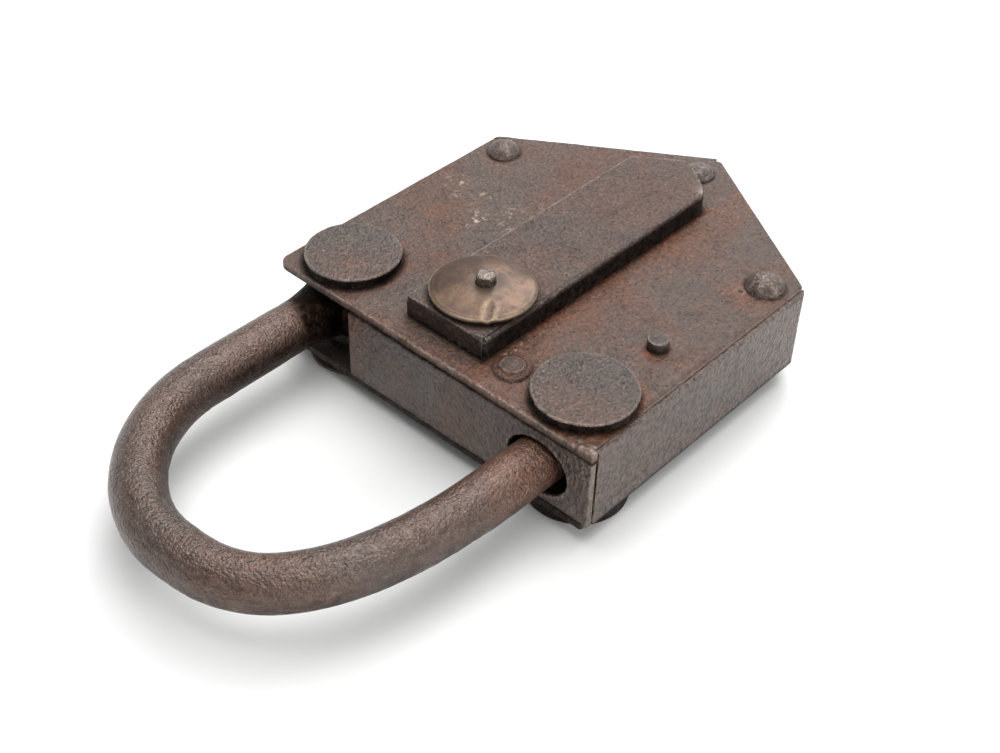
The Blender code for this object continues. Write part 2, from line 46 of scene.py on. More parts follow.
print("frame loaded with", len(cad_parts), "nodes")

mm = 0.001
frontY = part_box("front_wall")[0].y  # shapes are drawn in millimetres from the face of the front wall
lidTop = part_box("top_plate")[1].z / mm
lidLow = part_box("top_plate")[0].z / mm
wallLap = 1.5  # how far the walls stand outside the plates
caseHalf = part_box("top_plate")[1].x / mm + wallLap
gableSlope = 29.8 / 45.0
gableApex = 101.9
slant = math.hypot(1.0, gableSlope)  # turns a distance square to the gable into one along the case
still = Vector((0, 0, 0))


# shader wiring

class Wire:
    def __init__(self, finish, socket):
        self.finish = finish
        self.socket = socket

    def __add__(self, other):
        return self.finish.maths("ADD", self, other)

    def __radd__(self, other):
        return self.finish.maths("ADD", other, self)

    def __sub__(self, other):
        return self.finish.maths("SUBTRACT", self, other)

    def __rsub__(self, other):
        return self.finish.maths("SUBTRACT", other, self)

    def __mul__(self, other):
        return self.finish.maths("MULTIPLY", self, other)

    def __rmul__(self, other):
        return self.finish.maths("MULTIPLY", other, self)


class Finish:
    def __init__(self, name):
        self.material = bpy.data.materials.new(name)
        self.material.use_nodes = True
        self.tree = self.material.node_tree
        self.tree.nodes.clear()
        coords = self.node("ShaderNodeTexCoord", out="Object")
        self.place = self.node("ShaderNodeVectorMath", {"operation": "SCALE"}, {0: coords, "Scale": 1000.0})

    def node(self, kind, settings=None, values=None, out=0):
        made = self.tree.nodes.new(kind)
        for key, value in (settings or {}).items():
            setattr(made, key, value)
        for key, value in (values or {}).items():
            socket = made.inputs[key]
            if isinstance(value, Wire):
                self.tree.links.new(value.socket, socket)
            elif isinstance(value, tuple) and len(value) == 3 and socket.type == "RGBA":
                socket.default_value = (*tone(*value), 1.0)
            else:
                socket.default_value = value
        return Wire(self, made.outputs[out])

    def maths(self, operation, one, other):
        return self.node("ShaderNodeMath", {"operation": operation}, {0: one, 1: other})

    def larger(self, one, other):
        return self.maths("MAXIMUM", one, other)

    def mix(self, share, one, other):
        return self.node("ShaderNodeMix", {"data_type": "RGBA"}, {0: share, 6: one, 7: other}, out=2)

    def tint(self, colour, value):  # a colour times a number
        return self.node("ShaderNodeVectorMath", {"operation": "SCALE"}, {0: colour, "Scale": value})

    def rise(self, value, low, high):  # 0 below low, 1 above high
        settings = {"interpolation_type": "SMOOTHSTEP"}
        return self.node("ShaderNodeMapRange", settings, {"Value": value, "From Min": low, "From Max": high})

    def stretch(self, place, sizes):  # millimetres per unit along each axis
        scales = tuple(1.0 / size for size in sizes)
        return self.node("ShaderNodeMapping", {"vector_type": "POINT"}, {"Vector": place, "Scale": scales})

    def grain(self, place, size, detail=3.0, rough=0.55, seed=0.0, bend=0.0):
        values = {"Vector": place, "W": seed, "Scale": 1.0 / size, "Detail": detail, "Roughness": rough}
        values["Distortion"] = bend
        return self.node("ShaderNodeTexNoise", {"noise_dimensions": "4D"}, values)

    def cells(self, place, size):
        return self.node("ShaderNodeTexVoronoi", None, {"Vector": place, "Scale": 1.0 / size})

    def bent(self, place, size, amount, seed):  # the place pushed about by smooth noise
        values = {"Vector": place, "W": seed, "Scale": 1.0 / size, "Detail": 1.0}
        push = self.node("ShaderNodeTexNoise", {"noise_dimensions": "4D"}, values, out="Color")
        settings = {"operation": "MULTIPLY_ADD"}
        return self.node("ShaderNodeVectorMath", settings, {0: push, 1: (amount, amount, amount), 2: place})

    def mark(self, name):  # a value painted on the piece's own vertices
        return self.node("ShaderNodeAttribute", {"attribute_name": name}, out="Fac")

    def bump(self, height):  # height is in millimetres
        return self.node("ShaderNodeBump", None, {"Height": height, "Distance": mm, "Strength": 1.0})

    def surface(self, **values):
        sockets = {name.replace("_", " "): value for name, value in values.items()}
        shader = self.node("ShaderNodeBsdfPrincipled", None, sockets)
        output = self.tree.nodes.new("ShaderNodeOutputMaterial")
        self.tree.links.new(shader.socket, output.inputs["Surface"])
        return self.material


def tone(red, green, blue):  # display values from 0 to 255 as linear colour
    def linear(value):
        value = value / 255
        return value / 12.92 if value < 0.04045 else ((value + 0.055) / 1.055) ** 2.4

    return (linear(red), linear(green), linear(blue))


def ironFinish(name, base, **changes):
    look = {**base, **changes}
    f = Finish(name)
    place = f.place
    if look.get("along"):  # the rod's own straightened coordinates
        place = f.node("ShaderNodeAttribute", {"attribute_name": look["along"]}, out="Vector")
    streaked = f.stretch(place, look["stretch"])
    seed = look["seed"]
    cloud = f.grain(f.place, look["cloud"], 4.0, 0.6, seed)
    blotch = f.grain(f.place, look["blotch"], 5.0, 0.62, seed + 3.1, 0.4)
    fine = f.grain(streaked, look["grain"], 3.0, 0.6, seed + 5.7)
    fleck = f.grain(place, look["grain"] * 0.42, 2.0, 0.5, seed + 8.3)
    scratch = f.grain(streaked, look["grain"] * 2.6, 5.0, 0.7, seed + 2.2, 0.6)
    skin = f.bent(streaked, look["pebble"] * 2.2, look["pebble"] * 0.9, seed + 1.4)
    pebble = f.rise(f.cells(skin, look["pebble"]), 0.78, 0.12)  # low in the creases between grains
    crease = f.rise(pebble, 0.42, 0.0)

    colour = f.mix(f.rise(cloud, 0.40, 0.62), look["cool"], look["warm"])
    colour = f.mix(f.rise(blotch, 0.50, 0.72) * look["darkShare"], colour, look["deep"])
    colour = f.mix(f.rise(blotch, 0.44, 0.24) * look["paleShare"], colour, look["pale"])
    rust = f.mark("rust") * f.rise(scratch, 0.26, 0.54)
    rust = f.larger(rust, f.rise(cloud * 0.5 + scratch * 0.5, 0.58, 0.72) * look["freshRust"])
    colour = f.mix(rust, colour, f.mix(f.rise(fine, 0.35, 0.65), (124, 68, 38), (176, 101, 55)))
    light = 1.0 + (fine - 0.5) * look["grainTone"] + (fleck - 0.5) * look["fleckTone"]
    light = light - crease * look["creaseTone"]
    colour = f.tint(colour, look["shade"] * light)
    # near-black mixed in by the grime mark: painted shade in hollows, under things and between parts, with some
    # real grime
    grime = f.mark("grime") * (0.7 + 0.3 * f.rise(scratch, 0.7, 0.35))
    colour = f.mix(grime, colour, (20, 16, 14))
    pit = f.rise(f.cells(streaked, look["pit"]), 0.34, 0.12) * f.rise(blotch, 0.42, 0.60) * look["pitShare"]
    colour = f.mix(pit * 0.6, colour, (34, 26, 22))
    chalk = f.mark("chalk") * f.rise(f.grain(f.place, 1.1, 4.0, 0.6, seed + 11.0), 0.53, 0.64)
    colour = f.mix(chalk, colour, (190, 172, 150))
    wear = f.mark("wear") * look["edgeGain"] * (0.25 + 0.75 * f.rise(scratch, 0.38, 0.56))
    # bright crests painted in: rubbed metal and painted glints
    rubbed = f.rise(fine * 0.5 + fleck * 0.2 + pebble * 0.3, 0.60, 0.74)
    rubbed = rubbed * look["rubbed"] * f.rise(blotch, 0.60, 0.40)
    wear = f.larger(wear, rubbed) * (1 - grime)
    colour = f.mix(wear * 0.8, colour, look["bare"])

    rough = look["rough"] + (fine - 0.5) * 0.3 + rust * 0.2 - wear * 0.15 + grime * 0.3
    height = fine * look["fineDepth"] + scratch * look["coarseDepth"] + fleck * look["fleckDepth"]
    height = height + pebble * look["pebbleDepth"] - pit * look["pitDepth"]
    return f.surface(
        Specular_IOR_Level=look["gloss"],
        Base_Color=colour,
        Roughness=rough,
        Metallic=wear * 0.5 + grime * 0.8 + look["metal"],  # the painted shade and grime lose the sheen as well as the colour
        Normal=f.bump(height),
    )


plainLook = dict(
    seed=1.0, stretch=(1.0, 1.0, 1.0), cloud=17.0, blotch=5.0, grain=0.85, pebble=0.9, pit=1.3,
    cool=(93, 80, 73), warm=(108, 77, 62), deep=(56, 42, 35), pale=(122, 102, 89), bare=(150, 136, 126),
    shade=0.66, gloss=0.5, darkShare=0.55, paleShare=0.35, grainTone=1.6, fleckTone=1.4,
    creaseTone=0.25, freshRust=0.40, rubbed=0.30, edgeGain=1.0, pitShare=0.8, rough=0.47, metal=0.1,
    fineDepth=0.38, coarseDepth=0.26, fleckDepth=0.16, pebbleDepth=0.05, pitDepth=0.16,
)


# mesh helpers, all in millimetres

def faceOut(bm):
    bmesh.ops.recalc_face_normals(bm, faces=bm.faces)


def meshOf(bm, name):
    mesh = bpy.data.meshes.new(name)
    bm.to_mesh(mesh)
    bm.free()
    return mesh


def added(name, data):
    item = bpy.data.objects.new(name, data)
    scene.collection.objects.link(item)
    return item


def bevelled(bm, geom, width, segments, kind):
    bmesh.ops.bevel(bm, geom=geom, offset=width, segments=segments, profile=0.5, affect=kind, material=-1)


def layerOf(bm, name):
    return bm.verts.layers.float.get(name) or bm.verts.layers.float.new(name)


def plate(corners, low, high):
    # corners are (x, y, how far the corner is cut back), the face is drawn low and pulled up
    bm = bmesh.new()
    verts = [bm.verts.new((x, y, low)) for x, y, back in corners]
    bm.faces.new(verts)
    for vert, (x, y, back) in zip(verts, corners):
        if back > 0:
            bevelled(bm, [vert], back, 5, "VERTICES")
    grown = bmesh.ops.extrude_face_region(bm, geom=bm.faces[:])
    lifted = [item for item in grown["geom"] if isinstance(item, bmesh.types.BMVert)]
    bmesh.ops.translate(bm, vec=(0, 0, high - low), verts=lifted)
    faceOut(bm)
    return bm


def soften(bm, width, segments, test):
    edges = []
    for edge in bm.edges:
        if len(edge.link_faces) == 2 and edge.calc_face_angle(0) > 0.7:
            if test(edge.verts[0].co, edge.verts[1].co):
                edges.append(edge)
    bevelled(bm, edges, width, segments, "EDGES")


def sliceUp(bm, step, *axes, low=None, high=None):
    # cuts the faces into strips of about a step; the cuts stay just off the corners already there
    for axis in axes:
        reach = [vert.co[axis] for vert in bm.verts]
        start = min(reach) if low is None else low
        end = max(reach) if high is None else high
        count = max(1, round((end - start) / step))
        normal = Vector((0, 0, 0))
        normal[axis] = 1.0
        for index in range(count + 1):
            middle = normal * (start + (end - start) * (index + 0.013) / count)
            geom = bm.verts[:] + bm.edges[:] + bm.faces[:]
            bmesh.ops.bisect_plane(bm, geom=geom, dist=0.002, plane_co=middle, plane_no=normal)


def bored(bm, tool):
    # takes the tool's shape away and returns what is left
    made = []
    for part, name in ((bm, "stock"), (tool, "tool")):
        faceOut(part)
        made.append(added(name, meshOf(part, name)))
    modifier = made[0].modifiers.new("bore", "BOOLEAN")
    modifier.operation = "DIFFERENCE"
    modifier.object = made[1]
    modifier.solver = "EXACT"
    bpy.context.view_layer.update()
    result = bpy.data.meshes.new_from_object(made[0].evaluated_get(bpy.context.evaluated_depsgraph_get()))
    left = bmesh.new()
    left.from_mesh(result)
    for item in made:
        bpy.data.objects.remove(item, do_unlink=True)
    return left


def barrel(radius, low, high, x, y, steps=40):
    bm = bmesh.new()
    bmesh.ops.create_cone(bm, cap_ends=True, segments=steps, radius1=radius, radius2=radius, depth=high - low)
    bmesh.ops.translate(bm, vec=(x, y, (low + high) / 2), verts=bm.verts)
    return bm


def block(low, high):
    bm = bmesh.new()
    bmesh.ops.create_cube(bm, size=1.0)
    bmesh.ops.scale(bm, vec=[b - a for a, b in zip(low, high)], verts=bm.verts)
    bmesh.ops.translate(bm, vec=[(a + b) / 2 for a, b in zip(low, high)], verts=bm.verts)
    return bm


def turned(profile, step, steps, spot, closed=False):
    # profile is (radius, height) pairs; each stretch is split to the step and spun round Z at the spot
    bm = bmesh.new()
    ends = profile + [profile[0]] if closed else profile
    last = None
    for (r0, z0), (r1, z1) in zip(ends, ends[1:]):
        count = 1 + int(math.hypot(r1 - r0, z1 - z0) / step)
        for index in range(count + (not closed and (r1, z1) == ends[-1])):
            share = index / count
            point = bm.verts.new((r0 + (r1 - r0) * share, 0, z0 + (z1 - z0) * share))
            if last:
                bm.edges.new((last, point))
            last = point
    if closed:
        bm.edges.new((last, bm.verts[:][0]))
    turn = {"cent": still, "axis": (0, 0, 1), "dvec": still, "angle": math.tau, "steps": steps}
    bmesh.ops.spin(bm, geom=bm.verts[:] + bm.edges[:], use_merge=True, **turn)
    bmesh.ops.remove_doubles(bm, verts=bm.verts, dist=0.004)
    faceOut(bm)
    bmesh.ops.translate(bm, vec=(*spot, 0), verts=bm.verts)
    return bm


def ripple(place, size, seed=0.0, octaves=3):
    # smooth noise of about -1 to 1 whose bumps are about size across
    return noise.fractal(Vector(place) / size + Vector((seed, seed * 1.7, -seed)), 1.0, 2.0, octaves)


def dish(place, size, seed=0.0):
    # overlapping round hollows as a hammer leaves them, 0 at their middles and 1 between them
    near = noise.voronoi(Vector(place) / size + Vector((seed, -seed, seed * 0.7)))[0]
    return min(1.0, near[0] * near[0] * 1.6)


def sculpt(bm, rule):
    bm.normal_update()
    moves = [(vert, rule(vert.co.copy(), vert.normal.copy())) for vert in bm.verts]
    for vert, move in moves:
        vert.co += move
    bm.normal_update()


def paint(bm, **rules):
    for name, rule in rules.items():
        layer = layerOf(bm, name)
        for vert in bm.verts:
            vert[layer] = min(1.0, max(vert[layer], rule(vert.co)))


def markEdges(bm, gain=1.0, calm=lambda co: 1.0):
    # convex edges take wear and hollows take painted shade; calm holds the wear back where it is hidden or dull
    wear = layerOf(bm, "wear")
    grime = layerOf(bm, "grime")
    for vert in bm.verts:
        angles = [edge.calc_face_angle_signed(0) for edge in vert.link_edges if len(edge.link_faces) == 2]
        out = sum(angle for angle in angles if angle > 0.06)
        hollow = -sum(angle for angle in angles if angle < -0.06)
        vert[wear] = min(1.0, max(vert[wear], out * gain * calm(vert.co)))
        vert[grime] = min(1.0, max(vert[grime], hollow * 0.5))


def finishPiece(bm, name, body, material, slot, *nodes, sharp=38):
    bmesh.ops.scale(bm, vec=(mm, mm, mm), verts=bm.verts)
    bmesh.ops.translate(bm, vec=(0, frontY, 0), verts=bm.verts)
    mesh = meshOf(bm, name)
    mesh.materials.append(material)
    mesh.shade_smooth()
    mesh.set_sharp_from_angle(angle=math.radians(sharp))
    piece = added(name, mesh)
    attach(piece, body)
    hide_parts(*nodes)
    print(name, "has", len(mesh.polygons), "faces")
    return piece


def closeBack(bm):
    # fills the open side of a shell whose hidden face was left off
    edges = [edge for edge in bm.edges if edge.is_boundary]
    bmesh.ops.triangle_fill(bm, edges=edges, use_beauty=True)
    faceOut(bm)


def fade(distance, reach):
    return max(0.0, 1.0 - max(0.0, distance) / reach)


def hump(x, y, cx, cy, reach):
    far = math.hypot(x - cx, y - cy) / reach
    return math.exp(-far * far)


heads = {  # x, y and radius of what stands on the lid
    "heel_pin": (-33.0, 12.2, 10.85), "toe_disc_top": (32.6, 12.4, 11.2),
    "corner_rivet_left": (-38.8, 67.6, 4.1), "corner_rivet_apex": (0.6, 92.9, 3.8),
    "corner_rivet_right": (37.6, 67.4, 4.6), "front_rivet": (16.5, 9.0, 4.1),
    "spring_post": (33.4, 34.9, 2.4),
}


# top plate

lid = {
    "lap": 1.21,  # the lid stops just inside the walls that stand round it
    "step": 0.6, "edge": 0.35,
    "sag": 0.09,  # slow waves of the hammered sheet
    "hammer": 0.05, "frontRagged": 0.22, "keyhole": (-3.0, 58.0, 4.2, 1.9, 10.5),
    "cover": (11.1, 6.4, 81.3, 88.9),  # half width, front, shoulder and apex
    "bumps": [  # x, y, reach, height of swellings and pits
        (43.2, 1.3, 0.9, 0.5),
        (41.6, 0.9, 0.7, 0.35),
        (43.0, 2.8, 0.8, 0.35),
        (40.2, 2.0, 0.5, 0.22),
        (34.6, 62.5, 0.55, -0.35),
        (-38.8, 67.6, 6.0, 0.12),
        (37.6, 67.4, 6.4, 0.12),
        (16.5, 9.0, 5.6, 0.12),
        (28.0, 27.0, 1.4, -0.12),
        (-20.0, 30.0, 1.8, -0.10),
        (22.0, 48.0, 2.0, -0.10),
        (-30.0, 60.0, 1.5, -0.10),
    ],
    "chalk": [  # x, y, reach, strength of the pale specks
        (-38.5, 50.6, 2.2, 1.0),
        (-35.0, 47.0, 1.8, 0.6),
        (-30.0, 50.0, 3.4, 0.4),
        (-24.5, 42.5, 3.0, 0.85),
        (-20.0, 49.0, 4.0, 0.4),
        (-15.0, 56.0, 3.4, 0.4),
        (-17.5, 43.5, 2.6, 0.6),
    ],
}


def coverGap(x, y):
    half, front, shoulder, apex = lid["cover"]
    dx = abs(x) - half
    dy = max(front - y, y - shoulder - max(0.0, (apex - shoulder) * (1 - abs(x) / half)))
    if dx < 0 and dy < 0:
        return max(dx, dy)
    return math.hypot(max(dx, 0), max(dy, 0))


def headGap(x, y, node):
    cx, cy, radius = heads[node]
    return math.hypot(x - cx, y - cy) - radius


def gableGap(x, y):  # distance inside the slanted edge of the case
    return (gableApex - gableSlope * abs(x) - y) / slant


def makeLid():
    right = caseHalf - lid["lap"]
    inset = lid["lap"] * slant
    meet = inset / (2 * gableSlope)
    corners = [
        (-caseHalf, 0.8, 2.7),
        (right, 0.0, 0.3),
        (right, gableApex - gableSlope * right, 1.2),
        (meet, gableApex - gableSlope * meet, 0.8),
        (-caseHalf, gableApex - inset - gableSlope * caseHalf, 0.8),
    ]
    bm = plate(corners, lidLow, lidTop)
    x, y, radius, half, long = lid["keyhole"]
    bm = bored(bm, barrel(radius, lidLow - 1, lidTop + 1, x, y))
    bm = bored(bm, block((x - half, y, lidLow - 2), (x + half, y + long, lidTop + 2)))

    def freeEdge(a, b):  # the seam on the right and the gable stay sharp
        above = min(a.z, b.z) > lidTop - 0.01 and max(a.y, b.y) < 73
        return above and (min(a.x, b.x) < right - 1.5 or max(a.y, b.y) < 1.0)

    soften(bm, lid["edge"], 3, freeEdge)
    under = [face for face in bm.faces if face.normal.z < -0.5]
    bmesh.ops.delete(bm, geom=under, context="FACES")
    sliceUp(bm, lid["step"], 0, 1)
    sliceUp(bm, lid["step"] / 2, 1, low=0.05, high=1.6)

    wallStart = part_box("right_wall")[0].y / mm - frontY / mm

    def shape(co, normal):
        corner = 1.1 if co.x > right - 0.4 and co.y < wallStart - 0.3 else 0.0  # up to the wall's end
        if co.z < lidLow + 0.01:
            return Vector((corner, ripple(co, 2.2, 3.0) * 0.12 if co.y < 0.6 else 0, 0))
        flat = ripple(co, 16.0, 1.0) * lid["sag"] + ripple(co, 3.2, 5.0) * lid["hammer"]
        front = fade(co.y, 1.3)
        ragged = (ripple(co, 1.5, 7.0) * 1.1 + ripple(co, 4.5, 8.0) * 0.6) * lid["frontRagged"]
        strength = 0.45 + 0.55 * min(1.0, max(0.0, (co.x + 22) / 14))
        bead = front * strength * (ragged + 0.08)
        rise = 0.0
        for cx, cy, reach, high in lid["bumps"]:
            rise += hump(co.x, co.y, cx, cy, reach) * high
        rise += 0.14 * hump(co.x - 42.8, 0, 0, 0, 0.9) * (ripple(co, 3.0, 2.5) - 0.9) if co.y > 2.5 else 0.0
        return Vector((corner, -0.9 * bead * (1.0 if co.y < 0.5 else 0.0), flat * (1 - front) + bead + rise))

    sculpt(bm, shape)
    markEdges(bm, 0.9, lambda co: 0.12 if co.x > 42.5 and co.y > 3 or gableGap(co.x, co.y) < 2.4 else 1.0)
    paint(bm, rust=lidRust, grime=lidGrimeAndShade, chalk=lidChalk, wear=lidWear)
    closeBack(bm)
    finishPiece(bm, "lid", "case", lidMaterial, "rusted_plate", "top_plate")


def lidRust(co):
    x, y = co.x, co.y
    half = lid["cover"][0]
    side = fade(x - half, 3.2) ** 1.4 if x > half - 0.5 and 14 < y < 84 else 0.0
    side *= 0.55 + 0.45 * math.sin(y * 0.16 + 0.6) ** 2
    wide = 0.36 * fade(x - half, 16.0) if x > 11 else 0.0
    ring = 0.75 * fade(headGap(x, y, "toe_disc_top"), 2.6) if x > 33 or y > 14 else 0.1
    stub = 0.7 * hump(x, y, 34.0, 33.2, 3.2)
    heel = 0.35 * fade(headGap(x, y, "heel_pin"), 5.0) if x > -30 else 0.12
    front = 0.35 * fade(y, 6.0) if -30 < x < 30 else 0.0
    corner = 0.3 * hump(x, y, -38.0, 64.0, 5.0) + 0.35 * hump(x, y, 36.0, 62.0, 6.0)
    return max(side, wide, ring, stub, heel, front, corner, 0.10)


def lidWear(co):  # along the front edge, strongest on the right
    return 0.8 * fade(co.y, 0.9) * min(1.0, max(0.15, (co.x + 20) / 14)) if co.z > lidTop - 0.5 else 0.0


def lidGrimeAndShade(co):
    x, y = co.x, co.y
    gap = coverGap(x, y)  # painted shade along the cover's foot, and a little where the cover hides the lid
    cover = max(0.85 * fade(abs(gap), 0.9), 0.3 if gap < 0 else 0.0)
    # painted shade round the feet of the heel pin, toe disc and rivets and on the lid's edge faces; the seam on
    # the right is a dark joint
    heel = 0.9 * fade(headGap(x, y, "heel_pin"), 1.3)
    toe = 0.75 * fade(headGap(x, y, "toe_disc_top"), 1.0)
    broken = max(0.0, ripple((x, y, 0), 5.0, 3.3) + 0.4)
    seam = 0.4 * fade(abs(x - 43.4), 0.8) * broken if x > 40 and y > 3 else 0.0
    rivets = max(0.6 * fade(headGap(x, y, node), 0.7) for node in heads if "rivet" in node or "post" in node)
    side = 0.5 if co.z < lidTop - 0.6 else 0.0
    return max(cover, heel, toe, seam, rivets, side)


def lidChalk(co):
    x, y = co.x, co.y
    trail = max(hump(x, y, cx, cy, reach) * high for cx, cy, reach, high in lid["chalk"])
    cream = 0.8 * fade(abs(x - 12.9), 1.6) * fade(abs(y - 14.5), 9.0) if x > 11 else 0.0
    return max(trail, cream)


lidMaterial = ironFinish(
    "rustedPlate", plainLook, seed=4.0, cool=(95, 82, 75), warm=(110, 76, 60), grain=0.7,
)
makeLid()


# bottom plate

floorPlate = {"low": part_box("bottom_plate")[0].z / mm, "high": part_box("bottom_plate")[1].z / mm, "step": 1.6}


def makeFloorPlate():
    side = caseHalf - wallLap
    inset = wallLap * slant
    corners = [
        (-side, 0.6, 3.5),
        (side, 0.0, 0.8),
        (side, gableApex - inset - gableSlope * side, 0.8),
        (0.0, gableApex - inset, 0.8),
        (-side, gableApex - inset - gableSlope * side, 0.8),
    ]
    bm = plate(corners, floorPlate["low"], floorPlate["high"])
    soften(bm, 0.3, 2, lambda a, b: abs(a.z - b.z) < 0.01)
    sliceUp(bm, floorPlate["step"], 0, 1)

    def shape(co, normal):
        edge = fade(co.y, 1.5)
        return normal * (ripple(co, 14.0, 2.0) * 0.06 + ripple(co, 3.0, 4.0) * 0.03) - Vector(
            (0, edge * 0.12 * ripple(co, 2.6, 9.0), 0)
        )

    sculpt(bm, shape)
    markEdges(bm, 0.2)
    # painted shade along the front edge
    paint(bm, grime=lambda co: 0.8 * fade(co.y, 3.0))
    finishPiece(bm, "floorPlate", "case", floorPlateMaterial, "dark_scale", "bottom_plate")


floorPlateMaterial = ironFinish(
    "floorPlateIron", plainLook, seed=9.0, cool=(70, 58, 50), warm=(84, 62, 50),
)
makeFloorPlate()


# front wall

frontWall = {
    "start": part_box("front_wall")[0].x / mm,
    "end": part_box("front_wall")[1].x / mm,
    "low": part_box("front_wall")[0].z / mm,
    "high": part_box("front_wall")[1].z / mm,
    "thick": 1.2,
    "inner": 1.19,  # beyond this the faces belong to the hidden back
    "hole": (31.5, 13.55, 7.8, 6.6), "step": 0.6,
}

wallLook = dict(
    plainLook, stretch=(1.0, 1.0, 1.35), grain=0.8, cool=(92, 85, 80), warm=(102, 80, 67),
    deep=(52, 43, 38), pale=(118, 109, 102), grainTone=1.3, fleckTone=1.2, creaseTone=0.40, shade=0.70,
    gloss=0.9, fineDepth=0.85, coarseDepth=0.35, pebble=0.95, pebbleDepth=0.26, rough=0.34, rubbed=0.5,
)


def makeFrontWall():
    start, end, low, high = frontWall["start"], frontWall["end"], frontWall["low"], frontWall["high"]
    bm = block((start, 0, low), (end, frontWall["thick"], high))
    x, z, wide, tall = frontWall["hole"]
    oval = barrel(1.0, -3.0, 3.0, 0, 0, 64)
    bmesh.ops.rotate(oval, cent=(0, 0, 0), matrix=Matrix.Rotation(math.pi / 2, 3, "X"), verts=oval.verts)
    bmesh.ops.scale(oval, vec=(wide, 1.0, tall), verts=oval.verts)
    bmesh.ops.translate(oval, vec=(x, 0, z), verts=oval.verts)
    bm = bored(bm, oval)
    soften(bm, 0.22, 3, lambda a, b: max(a.y, b.y) < 0.01)
    inner = frontWall["inner"]
    back = [face for face in bm.faces if face.normal.y > 0.5 and face.calc_center_median().y > inner]
    bmesh.ops.delete(bm, geom=back, context="FACES")
    sliceUp(bm, frontWall["step"], 0, 2)

    def shape(co, normal):
        if co.y > inner:
            return still
        rough = ripple((co.x, co.y, co.z * 0.5), 1.7, 6.0) * 0.07 + ripple(co, 9.0, 2.0) * 0.10
        ragged = fade(end - co.x, 1.0) * ripple((0, 0, co.z), 1.6, 5.0) * 0.22
        lump = 0.5 * math.exp(-((co.x - end) ** 2 + (co.z - low - 0.4) ** 2) / 0.9)
        ring = math.hypot((co.x - x) / wide, (co.z - z) / tall)
        burr = 0.14 * math.exp(-(((ring - 1.05) * 7.0) / 0.5) ** 2)
        return Vector((min(0.0, ragged), -max(-0.3, rough + lump + burr), 0))

    sculpt(bm, shape)
    markEdges(bm, 1.0)
    # painted shade under the lid's edge, on the open left end and inside the hole; darker towards the bottom
    paint(
        bm,
        grime=lambda co: max(
            0.5 * fade(co.z - low, 1.2),
            0.9 * fade(high - co.z, 0.7),
            fade(co.x - start, 0.5),
            0.8 * fade(math.hypot((co.x - x) / wide, (co.z - z) / tall) * 7 - 7, 0.5) if co.y > 0.3 else 0.0,
        ),
        rust=lambda co: max(0.55 * fade(co.x - start, 9.0), 0.25 * hump(co.x, co.z, 6.0, 10.0, 8.0), 0.12),
        wear=lambda co: 0.7 * fade(end - co.x, 0.35),
    )
    closeBack(bm)
    finishPiece(bm, "frontWall", "case", frontWallMaterial, "rusted_plate", "front_wall")


frontWallMaterial = ironFinish("frontWallIron", wallLook, seed=12.0)
makeFrontWall()


# side walls, each one bent strip

sideWalls = {
    "step": 0.6,
    "low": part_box("right_wall")[0].z / mm,
    "foot": 4.8,  # the walls are painted darker below here
    "rim": 23.8, "joint": 0.35, "thick": 1.2,
}


def sideStrip(side, startY, top):
    # half of the case outline as a bent strip; side is -1 on the left and 1 on the right
    inner = caseHalf - sideWalls["thick"]
    innerApex = gableApex - sideWalls["thick"] * slant
    tip = sideWalls["joint"]
    shoulder = gableApex - gableSlope * caseHalf
    corners = [
        (side * inner, startY, 0),
        (side * caseHalf, startY, 0),
        (side * caseHalf, shoulder, 1.1),
        (side * tip, gableApex - gableSlope * tip, 0),
        (side * tip, innerApex - gableSlope * tip, 0),
        (side * inner, innerApex - gableSlope * inner, 0.4),
    ]
    return plate(corners, sideWalls["low"], top)


